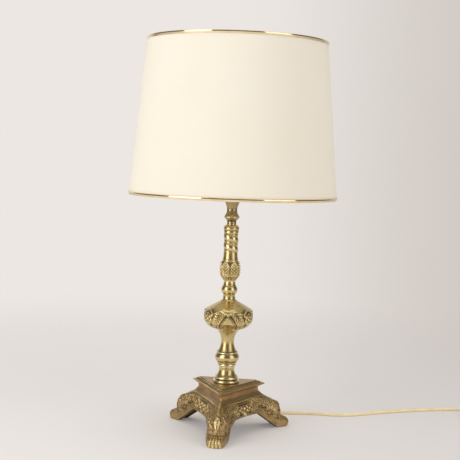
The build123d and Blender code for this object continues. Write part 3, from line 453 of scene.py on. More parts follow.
# Each curl is its place across and up, and its radius; each berry of the sprig likewise.
curls = [(17, 40.2, 2.5), (18.5, 32.6, 2.8), (25, 37.2, 2.7), (33, 39.6, 2.5), (40.5, 37.4, 2.7)]
curls += [(48.5, 38.2, 2.4), (55.5, 36.0, 2.3), (61.0, 32.0, 2.3), (53.5, 29.6, 2.4)]
curls += [(46.0, 31.4, 2.3), (58.0, 25.4, 2.2)]
for x, z, size in curls:
    panel_relief = np.maximum(panel_relief, curl(from_middle, outer_z, (x, z), size, 1.1, 1.7))
sprig_rise = 2.0
sprig = bead(from_middle, outer_z, (0, 30.2), 4.8, 3.9, sprig_rise)
for x, z, size in ((0, 37.4, 3.0), (6.4, 39.0, 2.3), (6.6, 33.8, 2.6), (11.4, 36.4, 2.0)):
    sprig = np.maximum(sprig, bead(from_middle, outer_z, (x, z), size, size, sprig_rise))
near_sprig = np.hypot(from_middle / 14, (outer_z - 34) / 8) < 1
on_panel = from_leg > 7
panel_relief = np.where(near_sprig, sprig, panel_relief) * on_panel * beside_band

fur, low_fur = [], []
for k in range(6):
    fur_root, low_root = (0.9 + 2.2 * k, 26 - 1.5 * (k % 2)), (1.9 + 2.2 * k, 20 - 1.2 * (k % 2))
    fur.append((fur_root, (1.2 + 2.3 * k, 21), (1.0 + 2.3 * k, 17 - (k % 3)), 1.0, 0.8))
    low_fur.append((low_root, (2.0 + 2.3 * k, 16), (2.1 + 2.3 * k, 13), 1.0, 0.7))
knee_leaves = frond((4.5, 24.0), (12, 26), (13.5, 40), 6, 4.6, 1.2, 1.1)
jewel_high, jewel_half, jewel_rise = 32.8, 5.6, 3.4
jewel_gap = np.hypot(from_leg, outer_z - jewel_high) / jewel_half
jewel_tail = strands(from_leg, outer_z, [((0.0, 31.0), (0.0, 26), (0.0, 18.5), 4.0, 2.2)])
jewel = np.maximum(jewel_rise * dome(jewel_gap, 0, 1), jewel_tail)
bezel = hump(jewel_gap, 1.28, 0.14) * onset(outer_z, 30, 33)
leg_relief = strands(from_leg, outer_z, fur + low_fur + knee_leaves) * (jewel_gap > 1.1)
leg_relief = np.maximum.reduce([leg_relief, jewel, bezel]) * ((reach > 60) & (from_leg < 17)) * beside_band
toe_fan = from_leg / np.interp(outer_z, [0, 15], [1.2, 0.75])
toe_swell = dome(np.abs(toe_fan - 4.5), 2.25, 2.35) - 0.45
toe_reach = onset(outer_z, 15, 11) * onset(reach, 74, 80) * onset(toe_fan, 10.5, 9)
toes = 2.2 * np.maximum(toe_swell, -0.3) * toe_reach

ground = stipple(from_middle, outer_z, 3.0, 0.9) * onset(outer_z, 47.2, 45.7) * onset(outer_z, 10, 13)
ground = ground * np.where(outer_z < 36, 1, onset(from_leg, 4, 7)) * beside_band
knee_plain = 0.75 * onset(from_leg, 10, 6) * onset(outer_z, 37, 40) * onset(outer_z, 49, 46)
ridge_half = np.interp(outer_z, [38, 44, 50, 56], [4.2, 2.8, 1.8, 1.4])
ridge = 1.7 * hump(from_leg, 0, ridge_half) * onset(outer_z, 37, 40) * onset(outer_z, 59, 51)
fillet_line = (1.2 * hump(outer_z, 47.4, 1.3) + 0.6 * hump(outer_z, 50.8, 0.8)) * onset(from_leg, 2, 9)
arch_rim = 0.9 * hump(edge_gap, 1.2, 1.0) * (outer_z < 30) * (outer_z > 2)
reliefs = [panel_relief, leg_relief, ridge, knee_plain, fillet_line, arch_rim, ground]
relief = np.maximum.reduce(reliefs) + toes
plain = onset(outer_z, 45.5, 47) + onset(outer_z, 14, 10) + (1 - beside_band) * (foot_line < 25)
shine = sprig / sprig_rise * (near_sprig & on_panel) + 0.5 * jewel / jewel_rise
shine = shine + 0.2 * (ridge + arch_rim) + 0.4 * onset(outer_z, 16, 10)
relief, shine, plain = (np.hstack([part] * 3) for part in (relief, shine, plain))

bush_high, bush_radius, bush_seat = 34.0, 7.3, 33.2
bush_gap = np.hypot(base_outer[..., 0], base_outer[..., 2] - bush_high) + 1e3 * (base_outer[..., 1] < 0)
relief = relief * onset(bush_gap, bush_radius + 0.1, bush_radius + 1.3)
base_skin = raised(base_outer, relief)
base_skin[..., 1] -= np.where(bush_gap < bush_radius, base_outer[..., 1] - bush_seat, 0)
base_skin[..., 2] = np.clip(base_skin[..., 2], 0, base_height)
roof_rows = spokes(base_outer[-1], bore, base_height)[1:]
ceiling_rows = spokes(base_inner[0], bore, base_height - roof)[::-1][:-1]
base_points = np.concatenate([base_skin, roof_rows, ceiling_rows, base_inner])
unseen_rows = ((0, len(base_points) - len(base_skin)), (0, 0))
rubbed = 0.15 + 0.44 * np.clip(relief / 1.4, 0, 1.1)
rubbed = rubbed + 0.22 * np.clip(plain, 0, 1) + 0.12 * np.clip(shine, 0, 1)
base_worn = np.pad(rubbed, unseen_rows, constant_values=0.12)
# The neck is tinted redder and darker in a band just under the cap's edge.
base_under_cap_tint = np.pad(0.55 * onset(base_outer[..., 2], 54.5, 59), unseen_rows)
antique_tones = (114, 93, 64), (188, 161, 114), (250, 229, 166)
antique_brass = brass("antique_brass", antique_tones, 0.0004, Blotch=55.0, Grain=620.0, Dull=0.5, Shine=0.2)
tree = antique_brass.node_tree
shader = tree.nodes["Principled BSDF"]
aged_colour = shader.inputs["Base Color"].links[0].from_socket
under_cap_tint = link(tree, "ShaderNodeAttribute", {"attribute_name": "under_cap_tint"}).outputs["Fac"]
feed(tree, shader, Base_Color=blend(tree, under_cap_tint, aged_colour, colour(170, 112, 66)))
base_marks = {"worn": base_worn, "under_cap_tint": base_under_cap_tint}
skin("base", base_points, antique_brass, "antique_brass", "base_casting", **base_marks)

# Cap: a triangular brass plate that covers the casting's neck. Its edge is rounded below, and a slope with
# fine notches and a step lie above. It is cast, filed and left brown, and the stem's foot stands on it.
cap_corner, cap_cut, cap_top, cap_film = 60.8, 2.2, 70.5, 0.46
notch_pitch, notch_deep = 2.6, 0.3


def softened(line, step, radius):
    """A line of points resampled at even steps, with its corners rounded by a running average."""
    length = np.concatenate([[0], np.cumsum(np.linalg.norm(np.diff(line, axis=0), axis=1))])
    even = np.linspace(0, length[-1], max(int(length[-1] / step), 8) + 1)
    fine = np.stack([np.interp(even, length, line[:, k]) for k in (0, 1)], -1)
    reach = max(int(round(radius / (even[1] - even[0]))), 1)
    padded = np.concatenate([np.repeat(fine[:1], reach, 0), fine, np.repeat(fine[-1:], reach, 0)])
    return np.stack([np.convolve(padded[:, k], kernel(reach), "valid") for k in (0, 1)], -1)


def edge_wear(line, flat, gain=0.35):
    """How worn each point of a profile is: flat on the plain, more on round edges, less in inner corners.

    The bend is the turn of the heading for each mm, evened out over seven points.
    """
    step = np.gradient(line, axis=0)
    heading = np.unwrap(np.arctan2(step[:, 1], step[:, 0]))
    bend = np.gradient(heading) / np.maximum(np.linalg.norm(step, axis=1), 1e-6)
    bend = np.convolve(np.pad(bend, 3, mode="edge"), kernel(3), "valid")
    return np.clip(flat + gain * np.tanh(bend * 2.2), 0, 1)


def triangle_columns(inset, level):
    """A moulding carried round a triangle with cut corners. A profile point is an inset and a height.

    Going in by the inset brings a corner in by twice as much, and the columns crowd towards the corners.
    """
    even = np.linspace(0, 1, 190, endpoint=False)
    ease = 0.8 * even + 0.1 * (1 - np.cos(math.pi * even))
    nip = np.linspace(0, 1, 7, endpoint=False)
    corner = (cap_corner - 2 * inset)[:, None]
    left = np.stack([0 * corner - cap_cut, -corner], -1)
    right = np.stack([0 * corner + cap_cut, -corner], -1)
    following = np.stack(turned_by(math.radians(120), left[..., 0], left[..., 1]), -1)
    cut, side = left + (right - left) * nip[None, :, None], right + (following - right) * ease[None, :, None]
    third = np.concatenate([cut, side], axis=1)
    return thirds(third[..., 0], third[..., 1], np.repeat(level[:, None], third.shape[1], 1))


cap_lip = [(9.0, base_height), (5.5, base_height), (5.2, 61.5), (3.9, 62.0), (2.2, 63.0), (1.0, 64.2)]
cap_edge = [(0.2, 64.7), (0.0, 65.2), (0.3, 65.9), (1.0, 66.2), (1.3, 66.0), (2.2, 66.6), (2.5, 66.9)]
cap_step = [(4.2, 68.5), (4.7, 69.2), (5.2, 69.3), (5.5, 68.9), (6.0, 69.0), (6.6, 70.4), (7.2, cap_top)]
cap_step += [(12.0, cap_top)]
cap_line = softened(np.array(cap_lip + cap_edge + cap_step), 0.25, 0.45)
cap_rows = triangle_columns(cap_line[:, 0], cap_line[:, 1])
cap_table = spokes(cap_rows[-1], bore, cap_top)[1:]
cap_under = spokes(cap_rows[0], bore, base_height)[::-1][:-1]
cap_points = np.concatenate([cap_rows, cap_table, cap_under])
along_side = np.concatenate([[0], np.cumsum(np.linalg.norm(np.diff(cap_rows[0], axis=0), axis=1))])
on_slope = (cap_line[:, 0] > 2.5) & (cap_line[:, 0] < 4.4) & (cap_line[:, 1] > 66)
notches = notch_deep * np.cos(2 * math.pi * along_side / notch_pitch)
cap_points[: len(cap_line), :, 2] += notches * on_slope[:, None]
cap_wear = np.full(len(cap_points), cap_film)
cap_wear[: len(cap_line)] = edge_wear(cap_line, cap_film, 0.24) + 0.2 * (cap_line[:, 0] < 1.4)
cap_marks = {"worn": np.repeat(cap_wear[:, None], cap_points.shape[1], 1), "under_cap_tint": 0 * cap_points[..., 0]}
skin("base_plate", cap_points, antique_brass, "antique_brass", "base_cap", **cap_marks)

# Foot of the stem: a turned brass piece with a flange, a fat bead and a hollow neck, threaded on the tube.
# The lathe left fine lines round it; it was polished, and only its inner corners have gone brown.


def arc(start, middle, end):
    """Points of the circular arc through three points, from start to end."""
    (x0, y0), (x1, y1), (x2, y2) = start, middle, end
    d = 2 * (x0 * (y1 - y2) + x1 * (y2 - y0) + x2 * (y0 - y1))
    s0, s1, s2 = x0**2 + y0**2, x1**2 + y1**2, x2**2 + y2**2
    cx = (s0 * (y1 - y2) + s1 * (y2 - y0) + s2 * (y0 - y1)) / d
    cy = (s0 * (x2 - x1) + s1 * (x0 - x2) + s2 * (x1 - x0)) / d
    angle = np.unwrap([math.atan2(y - cy, x - cx) for x, y in (start, middle, end)])
    sweep = np.linspace(angle[0], angle[2], 40)
    radius = math.hypot(x0 - cx, y0 - cy)
    return np.stack([cx + radius * np.cos(sweep), cy + radius * np.sin(sweep)], -1)


def bowed(start, end, swell):
    """The arc from start to end that swells to the right of its chord by swell."""
    chord = np.subtract(end, start)
    middle = np.add(start, end) / 2 + np.array([chord[1], -chord[0]]) / np.hypot(*chord) * swell
    return arc(start, tuple(middle), end)


def spun(line, columns):
    """A profile of radius and height spun about the axis into a grid of points."""
    angle = np.linspace(0, 2 * math.pi, columns, endpoint=False)
    radius, level = line[:, :1], line[:, 1:]
    return np.stack([radius * np.cos(angle), radius * np.sin(angle), level + 0 * angle], -1)


def turned(name, lines, material, slot, stands_for, soft=0.35, wear=0.5):
    """A piece turned about the axis: its outside from the bottom up, closed by flat ends and the bore."""
    outside = np.concatenate(lines)
    ends = [(bore, outside[0, 1])], [(bore, outside[-1, 1])]
    line = softened(np.concatenate([ends[0], outside, ends[1]]), 0.3, soft)
    points = spun(line, 112)
    worn = np.repeat(edge_wear(line, wear)[:, None], points.shape[1], 1)
    skin(name, points, material, slot, stands_for, worn=worn)


def lathe_brass(name, tones, dull, shine):
    """Turned brass: aged brass with fine tool lines round the axis, from a wave along the height."""
    material = brass(name, tones, 0.00003, Blotch=70.0, Drift=0.22, Grain=1600.0, Dull=dull, Shine=shine)
    tree = material.node_tree
    shader = tree.nodes["Principled BSDF"]
    place = link(tree, "ShaderNodeTexCoord").outputs["Object"]
    along_axis = {"bands_direction": "Z"}
    lines = link(tree, "ShaderNodeTexWave", along_axis, Vector=place, Scale=260.0, Distortion=1.5, Detail=3.0)
    grain = shader.inputs["Normal"].links[0].from_socket
    bump = link(tree, "ShaderNodeBump", Height=lines.outputs["Fac"], Distance=0.00001, Normal=grain)
    feed(tree, shader, Normal=bump.outputs["Normal"])
    shader.inputs["Coat Weight"].default_value = 0.3
    shader.inputs["Coat Roughness"].default_value = 0.12
    return material


polished_brass = lathe_brass("polished_brass", [(112, 90, 54), (210, 188, 130), (250, 238, 196)], 0.36, 0.19)
foot_lines = [
    arc((17.2, 70.5), (19.1, 72.6), (16.8, 74.8)),
    [(15.7, 75.0), (15.7, 75.4)],
    arc((15.7, 75.4), (16.9, 77.6), (15.7, 79.8)),
    [(15.0, 80.2)],
    arc((15.0, 80.2), (11.6, 85.8), (10.9, 90.0)),
    [(11.8, 94.5)],
]
turned("stem_foot_turned", foot_lines, polished_brass, "polished_brass", "stem_foot")

# Baluster: a turned brass vase with a collar bead, a torus under a thin ridge, and a waist that flares to
# carry the knop. It is threaded on the tube like the foot below it.
baluster_lines = [
    arc((11.8, 94.5), (13.5, 96.5), (12.0, 98.5)),
    [(13.9, 98.7), (14.3, 100.4)],
    arc((14.6, 100.8), (17.5, 107.2), (15.6, 112.8)),
    [(14.6, 113.0), (14.6, 113.3)],
    arc((14.6, 113.3), (15.8, 114.4), (14.4, 115.5)),
    [(14.0, 115.7)],
    arc((14.0, 115.7), (9.2, 131.5), (17.2, 148.3)),
]
turned("baluster_turned", baluster_lines, polished_brass, "polished_brass", "baluster")

# Large knop: cast brass with a plain sloping shoulder over a chased band, where three plain gables alternate
# with acanthus leaves and rosettes. It was cast, bored for the tube, turned on its shoulder and polished.
band_low, band_high, band_radius = 150.5, 175.2, 34.0
gable_foot, gable_top = 14.9, 170.0
front = 1.5 * math.pi + view_turn


def polar(points):
    """The angle of each point round the axis, and its distance from the axis."""
    return np.arctan2(points[..., 1], points[..., 0]), np.hypot(points[..., 0], points[..., 1])


def blossom(across, up, centre, radius, petals, rise):
    """A rosette: round petals set evenly about a button that stands a little higher."""
    petal = 0.4 * radius
    height = bead(across, up, centre, 0.75 * petal, 0.75 * petal, 1.15 * rise)
    for angle in 2 * math.pi * (np.arange(petals) + 0.25) / petals:
        spot = centre[0] + 0.62 * radius * math.cos(angle), centre[1] + 0.62 * radius * math.sin(angle)
        height = np.maximum(height, bead(across, up, spot, petal, petal, rise))
    return height


knop_lines = [
    [(bore, 148.3)],
    bowed((17.2, 148.3), (33.7, 160.3), 1.9),
    arc((33.7, 160.3), (34.5, 167.55), (33.7, 174.8)),
    bowed((33.7, 174.8), (26.5, 181.4), 0.7),
    [(14.6, 188.0)],
    bowed((14.6, 188.0), (9.0, 192.5), -0.5),
    [(bore, 192.5)],
]
knop_line = softened(np.concatenate(knop_lines), 0.34, 0.5)
chased = (knop_line[:, 1] > band_low - 2) & (knop_line[:, 1] < band_high + 4) & (knop_line[:, 0] > 15)
row = np.arange(len(knop_line))
knop_line = knop_line[chased | (row % 4 == 0) | (row == row[-1])]
knop_points = spun(knop_line, 480)
knop_angle, knop_radius = polar(knop_points)
across, up = band_radius * folded(knop_angle - front, 3), knop_points[..., 2]
band_top = band_high - 1.7 + 4.2 * np.sin(math.pi * across / 23) ** 2
gable_side = gable_foot * (gable_top - up) / (gable_top - band_low)
gable_leaf = frond((gable_foot + 2.6, 152.6), (12.2, 164.4), (3.4, 174.4), 6, 8.4, 1.5, 1.6, sides=(-1,))
side_leaf = frond((24.6, 153.0), (21.0, 163.0), (16.4, 175.4), 6, 6.0, 1.5, 1.5)
gable_middle = (gable_foot / 2 + 2.0, (band_low + gable_top) / 2)
gable_edge = [((gable_foot + 2.0, band_low), gable_middle, (1.4, gable_top + 1.0), 1.0, 1.2)]
edge_beads = bead(across % 5.2, up, (2.6, 153.2), 2.4, 2.0, 1.5) * (across > gable_foot + 2)
ornaments = [
    strands(across, up, gable_edge + gable_leaf + side_leaf),
    blossom(across, up, (35.6, 165.2), 10.4, 6, 2.0),
    bead(across, up, (27.2, 171.0), 3.4, 3.0, 1.4),
    bead(across, up, (0, 172.4), 2.4, 1.6, 1.2),
    edge_beads,
]
knop_relief = np.maximum.reduce(ornaments) * (across > gable_side + 0.7)
on_band = (up > band_low - 1) & (up < band_top + 1) & (knop_radius > 16)
knop_relief = np.maximum(knop_relief, 0.6 * hump(up, band_top, 0.9)) * on_band
knop_sink = 0.7 * onset(across - gable_side, 0, 0.6) * onset(up, band_low, band_low + 1.5)
knop_sink = knop_sink * onset(band_top - up, 0, 1) * on_band
knop_points = raised(knop_points, knop_relief - knop_sink)
knop_worn = edge_wear(knop_line, 0.5)[:, None] + 0.27 * np.clip(knop_relief, 0, 1.6) - 0.55 * knop_sink
skin("knop_chased", knop_points, polished_brass, "polished_brass", "knop", worn=np.clip(knop_worn, 0, 1))

# Small knop: a turned brass bead between two necks, which carries the column. It is threaded on the tube and
# polished like the baluster.
small_knop_lines = [
    arc((9.4, 192.5), (8.4, 196.4), (9.4, 200.0)),
    arc((9.4, 200.0), (11.6, 205.4), (9.6, 211.2)),
    [(8.7, 212.8), (8.4, 214.6), (8.3, 217.5)],
]
turned("small_knop_turned", small_knop_lines, polished_brass, "polished_brass", "small_knop", soft=0.9)

# Column: one brass casting with a cup of pointed leaves, a left-hand twisted shaft of one wide lobe and one
# narrow ribbon, and a turned collar. The grooves have gone dark.
twist_pitch, twist_start, leaves = 13.4, math.radians(287), 6
column_lines = [
    [(bore, 217.5)],
    bowed((8.1, 217.5), (13.2, 225.5), -0.5),
    arc((13.2, 225.5), (14.2, 235.5), (11.8, 245.5)),
    [(10.9, 248.5), (9.7, 249.0), (9.7, 287.0), (10.4, 287.5), (10.4, 291.5)],
    arc((10.4, 291.5), (11.0, 295.3), (8.4, 299.1)),
    [(bore, 299.1)],
]
column_line = softened(np.concatenate(column_lines), 0.32, 0.4)
column_points = spun(column_line, 200)
column_angle, column_radius = polar(column_points)
up = column_points[..., 2]
turn_share = ((column_angle - twist_start) / (2 * math.pi) + (up - 248.5) / twist_pitch) % 1
lobe, ribbon = 1.45 * dome(turn_share, 0.33, 0.34), 0.75 * dome(turn_share, 0.83, 0.13)
twist = (np.maximum(lobe, ribbon) - 0.5) * onset(up, 258.5, 262.5) * onset(up, 287.4, 286.2)
flare = np.interp(up, [245.5, 246.5, 248.5, 249.2, 253.5, 262], [0.0, 0.4, 0.5, 1.45, 0.6, 0.0])
leaf_fold = folded(column_angle - front - math.pi / leaves, leaves)
half_leaf = np.interp(up, [218, 224, 232, 238, 241, 244.5, 246.5], [0.2, 0.34, 0.46, 0.515, 0.46, 0.3, 0.1])
inside = half_leaf - leaf_fold
leaf = onset(inside, 0, 0.05)
leaf_rim = 0.6 * hump(inside, 0.07, 0.045)
rib = 0.7 * hump(13.5 * leaf_fold, 0, 0.8)
veins = 0.6 * np.cos(2 * math.pi * (up - 13 * leaf_fold) / 4.2) * onset(inside, 0, 0.1) * onset(up, 226, 230)
half_short = np.interp(up, [218, 224, 230, 236], [0.3, 0.28, 0.2, 0.0])
short_leaf = 0.8 * np.sqrt(onset(half_short - folded(column_angle - front, leaves), 0, 0.25))
leaf_sink = np.interp(up, [236, 242], [1.2, 0.5])
on_cup = onset(up, 219, 220.5) * onset(up, 247, 246.2)
leaf_height = np.maximum((0.9 + np.maximum(rib, leaf_rim) + veins) * leaf, short_leaf) - leaf_sink
leaf_shine = np.maximum(1.2 * leaf + 0.8 * leaf_rim + 1.2 * veins, 1.4 * short_leaf) - leaf_sink - 0.4
column_relief = (twist + flare + leaf_height * on_cup) * (column_radius > 7.5)
column_points = raised(column_points, column_relief)
collar_film = 0.11 * onset(up, 287, 289)
column_worn = edge_wear(column_line, 0.5)[:, None] + 0.16 * twist + 0.3 * leaf_shine * on_cup - collar_film
column_worn = np.clip(column_worn, 0, 1)
skin("column_cast", column_points, polished_brass, "polished_brass", "column", worn=column_worn)

# Candle cup: a turned brass neck with a sharp drip ring and a flared mouth. It sits under the shade and takes
# a darker copy of the stem's turned brass.
dark_brass = lathe_brass("dark_brass", [(78, 62, 38), (176, 155, 108), (226, 210, 162)], 0.34, 0.2)
cup_lines = [
    [(6.6, 299.1), (6.6, 305.1), (11.2, 310.1), (11.2, 311.1)],
    bowed((11.2, 311.1), (7.4, 319.1), -0.7),
    [(7.4, 322.5)],
    bowed((7.4, 322.5), (11.2, 333.0), -0.5),
]
turned("candle_cup_turned", cup_lines, dark_brass, "dark_brass", "candle_cup", wear=0.42)

# Threaded tube, washer and nuts: zinc-plated steel. The tube runs through the whole stack, and its two nuts
# clamp the stem between the base's roof and the candle cup.


def dress(material, *names):
    """Gives CAD nodes their finish."""
    for name in names:
        slots = nodes[name].data.materials
        slots.clear()
        slots.append(material)


def speckled(name, dark, light, scale, rough, grain, metallic=0.0, **values):
    """A finish whose colour and gloss drift between two values by a noise, with bumps of grain metres."""
    material, tree, shader = finish_named(name, Metallic=metallic, **values)
    place = link(tree, "ShaderNodeTexCoord").outputs["Object"]
    cloud = mottle(tree, place, scale, 3.0)
    tone = blend(tree, ramp(tree, cloud, 0.3, 0.7), colour(*dark), colour(*light))
    gloss = link(tree, "ShaderNodeMapRange", Value=cloud, To_Min=rough[0], To_Max=rough[1]).outputs["Result"]
    fine = mottle(tree, place, scale * 12, 2.0)
    bump = link(tree, "ShaderNodeBump", Height=fine, Distance=grain).outputs["Normal"]
    feed(tree, shader, Base_Color=tone, Roughness=gloss, Normal=bump)
    return material


zinc = speckled("zinc_plating", (150, 150, 146), (196, 196, 190), 220.0, (0.28, 0.5), 0.00005, 1.0)
dress(zinc, "threaded_tube", "base_washer", "base_nut", "lock_nut")

# Flex: cream two-core lamp flex, 1.8 m long, drawn through a moulded bush in the rear panel and up the tube.
# Outside it drops to the table, lies loose to the right, and its spare length is coiled and tied.
flex_thick, coil_pitch, coil_low, coil_middle, plug_x = 4.8, 5.3, 3.55, (398.0, 161.7875), 436.4125
route = [(0, 57.2, 34), (0, 72, 34), (6.5, 89, 27.5), (21, 101.5, 16.5), (41, 107.6, 8), (63, 106.2, 3.4)]
route += [(85, 105.5, 2.5), (110, 111.7, 2.5), (135, 114, 2.5), (159.5, 111.8, 2.5), (185, 121.7, 2.5)]
route += [(222, 144.7, 2.5), (272, 172.4, 2.5), (323, 192.9, 2.5)]
route = np.array(route + [(361, 200.2, coil_low), (393.2, 200.2, coil_low)])
coil_turns = np.linspace(0, 7.25, 7 * 24 + 7)
coil_reach = 19.2 + coil_pitch * np.abs(coil_turns - 3.625)
coil_angle = math.pi / 2 - 2 * math.pi * coil_turns
coil_level = coil_low + coil_pitch * (1 - np.cos(math.pi * onset(coil_turns, 3.375, 3.875))) / 2
coil_x = coil_middle[0] + coil_reach * np.cos(coil_angle)
coil_y = coil_middle[1] + coil_reach * np.sin(coil_angle)
tail = [(plug_x, 156.9875, 8.85), (plug_x, 145.4875, 8.85), (plug_x, 132.4875, 7), (plug_x, 120.9875, 7)]
flex_line = np.concatenate([route, np.stack([coil_x, coil_y, coil_level], -1), tail]) * MM
flex_curve = bpy.data.curves.new("flex", "CURVE")
flex_curve.dimensions = "3D"
flex_curve.bevel_depth, flex_curve.bevel_resolution = flex_thick * MM / 2, 5
spline = flex_curve.splines.new("NURBS")
spline.points.add(len(flex_line) - 1)
spline.points.foreach_set("co", np.hstack([flex_line, np.ones((len(flex_line), 1))]).ravel())
spline.order_u, spline.use_endpoint_u, spline.resolution_u = 3, True, 5
flex = bpy.data.objects.new("flex", flex_curve)
scene.collection.objects.link(flex)
flex_sheath = speckled("flex_sheath", (238, 218, 170), (246, 230, 188), 90.0, (0.32, 0.46), 0.00004)
flex_curve.materials.append(flex_sheath)
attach(flex, "stand")
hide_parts("flex_run", "flex_coil", "flex_tail")
dress(flex_sheath, "inner_flex")
moulding = speckled("flex_fittings", (232, 214, 172), (242, 226, 188), 120.0, (0.42, 0.56), 0.00006)
dress(moulding, "flex_bush")
core = speckled("core_insulation", (96, 62, 40), (120, 80, 52), 200.0, (0.45, 0.6), 0.00004)
dress(core, "flex_cores")

# Tie: a soft cream strap, moulded flat with rounded edges. It is closed round the coil's turns and keeps the
# spare length together.
bundle_middle, bundle_half, bundle_corner = np.array([*coil_middle, 6.2]), (12.35, 5.4), 2.75
tie_turn, tie_reach, strap_half, strap_thick = math.radians(200), 28.8, 2.5, 0.8
tie_out = np.array([math.cos(tie_turn), math.sin(tie_turn), 0])
tie_along = np.array([-math.sin(tie_turn), math.cos(tie_turn), 0])


def squared(angle, squareness):
    """Cosine and sine of an angle drawn out towards a square: a superellipse of that squareness."""
    return [np.sign(part) * np.abs(part) ** (2 / squareness) for part in (np.cos(angle), np.sin(angle))]


quarters = np.arange(4) * math.pi / 2
corner_turn = np.concatenate([np.linspace(quarter, quarter + math.pi / 2, 10) for quarter in quarters])
side_x, side_y = np.repeat([1, -1, -1, 1], 10), np.repeat([1, 1, -1, -1], 10)
strap_w, strap_d = squared(np.linspace(0, 2 * math.pi, 28, endpoint=False)[:, None], 5)
strap_rise = bundle_corner + strap_thick * (strap_d + 1) / 2
strap_x = side_x * (bundle_half[0] - bundle_corner) + strap_rise * np.cos(corner_turn)
strap_z = side_y * (bundle_half[1] - bundle_corner) + strap_rise * np.sin(corner_turn)
strap_points = bundle_middle + (tie_reach + strap_x)[..., None] * tie_out + strap_z[..., None] * [0, 0, 1]
strap_points = strap_points + (strap_half * strap_w)[..., None] * tie_along
strap = skin("coil_strap", strap_points, moulding, "flex_fittings", "coil_tie")

# Plug: moulded on the flex in cream, with finger grips on its sides and a ribbed sleeve that keeps the flex
# from kinking. Its two nickel-plated pins are set in the moulding. A station below is a place along the plug,
# two half sizes and a squareness.
plug_level = 7.0
face_stations = [(61.0, 0.4, 0.4, 2), (61.0, 12.4, 6.0, 5), (61.5, 13.4, 6.8, 5), (63.0, 14.6, 7.0, 5)]
body_stations = [(71.0, 17.5, 7.0, 5), (73.0, 17.4, 7.0, 5), (85.0, 12.0, 7.0, 5), (95.0, 7.2, 6.9, 4)]
sleeve_stations = [(97.5, 5.6, 5.8, 3), (98.5, 5.2, 5.2, 2), (120.4, 3.5, 3.5, 2)]
end_stations = [(121.0, 3.1, 3.1, 2), (121.0, 2.3, 2.3, 2)]
plug_stations = np.array(face_stations + body_stations + sleeve_stations + end_stations)
number = np.arange(len(plug_stations))
station = np.linspace(0, number[-1], 24 * number[-1] + 1)
plug_y, plug_half_x, plug_half_z, squareness = (np.interp(station, number, part) for part in plug_stations.T)
grips = 0.45 * np.sin(2 * math.pi * (plug_y - 74) / 2.8) * (plug_y > 74) * (plug_y < 93.6)
ribs = 0.4 * np.sin(2 * math.pi * (plug_y - 100) / 3.2) * (plug_y > 100) * (plug_y < 119.2)
plug_across, plug_tall = squared(np.linspace(0, 2 * math.pi, 80, endpoint=False), squareness[:, None])
plug_wide = (plug_half_x + grips + ribs)[:, None] * plug_across
plug_high = (plug_half_z + ribs)[:, None] * plug_tall
plug_points = np.stack([plug_x + plug_wide, plug_y[:, None] + 0 * plug_across, plug_level + plug_high], -1)
plug = skin("plug_moulded", plug_points, moulding, "flex_fittings", "plug_body")
pin_metal = speckled("pin_metal", (176, 172, 162), (206, 203, 196), 260.0, (0.16, 0.3), 0.00003, 1.0)
dress(pin_metal, "plug_pins")

# Lampholder: a brass cap screwed on the tube, a threaded brass shell with its porcelain insert, the screw
# socket and its contacts, a push bar for the switch and two screwed rings that clamp the shade.
holder_tones = (120, 92, 44), (196, 164, 88), (224, 196, 126)
holder_age = {"Blotch": 90.0, "Grain": 1500.0, "Dull": 0.36, "Shine": 0.24}
holder_brass = brass("holder_brass", holder_tones, 0.00005, None, **holder_age)
dress(holder_brass, "holder_cap", "holder_shell", "lower_shade_ring", "upper_shade_ring")
porcelain = speckled("porcelain", (226, 220, 206), (240, 236, 226), 160.0, (0.3, 0.42), 0.00003)
dress(porcelain, "holder_insert")
contact_brass = speckled("contact_brass", (190, 158, 84), (216, 186, 112), 300.0, (0.24, 0.38), 0.00003, 1.0)
dress(contact_brass, "socket_sleeve", "contact_tongue", "terminal_screws")
switch_plastic = speckled("switch_plastic", (34, 26, 20), (48, 38, 30), 180.0, (0.3, 0.45), 0.00004)
dress(switch_plastic, "switch_bar")

# Bulb: clear blown glass with a filament on its stem, and a rolled screw cap with a soldered contact. It
# screws into the lampholder's socket.
thread_low, thread_high, skirt_high, thread_pitch = 372.0, 390.0, 393.0, 3.6
thread_radius, thread_deep, cap_wall = 12.45, 0.62, 0.4
cap_level = np.linspace(thread_low, skirt_high, 118)
thread_points = spun(np.stack([np.full_like(cap_level, thread_radius), cap_level], -1), 96)
thread_turn = polar(thread_points)[0] / (2 * math.pi)
thread_climb = (thread_points[..., 2] - thread_low) / thread_pitch
thread = thread_deep * np.cos(2 * math.pi * (thread_climb - thread_turn))
on_thread = onset(cap_level, thread_low, thread_low + 1.5) * onset(cap_level, thread_high, thread_high - 1.5)
thread_points = raised(thread_points, thread * on_thread[:, None])
inside_radius = np.full_like(cap_level, thread_radius - thread_deep - cap_wall)
bulb_cap_points = np.concatenate([thread_points, spun(np.stack([inside_radius, cap_level], -1), 96)[::-1]])
cap_metal = speckled("bulb_cap_metal", (184, 184, 182), (212, 212, 210), 240.0, (0.25, 0.4), 0.00003, 1.0)
skin("bulb_cap_rolled", bulb_cap_points, cap_metal, "bulb_cap_metal", "bulb_cap", "bulb")
contact = speckled("bulb_contact", (20, 20, 22), (40, 40, 42), 300.0, (0.2, 0.35), 0.00003)
dress(contact, "bulb_contact")
filament = speckled("filament_wire", (88, 84, 80), (120, 116, 110), 400.0, (0.3, 0.5), 0.00002, 1.0)
dress(filament, "bulb_filament")
clear = {"Transmission_Weight": 1.0, "IOR": 1.46}
glass = speckled("bulb_glass", (244, 244, 240), (250, 250, 248), 30.0, (0.0, 0.03), 0.00001, **clear)
dress(glass, "bulb_glass")

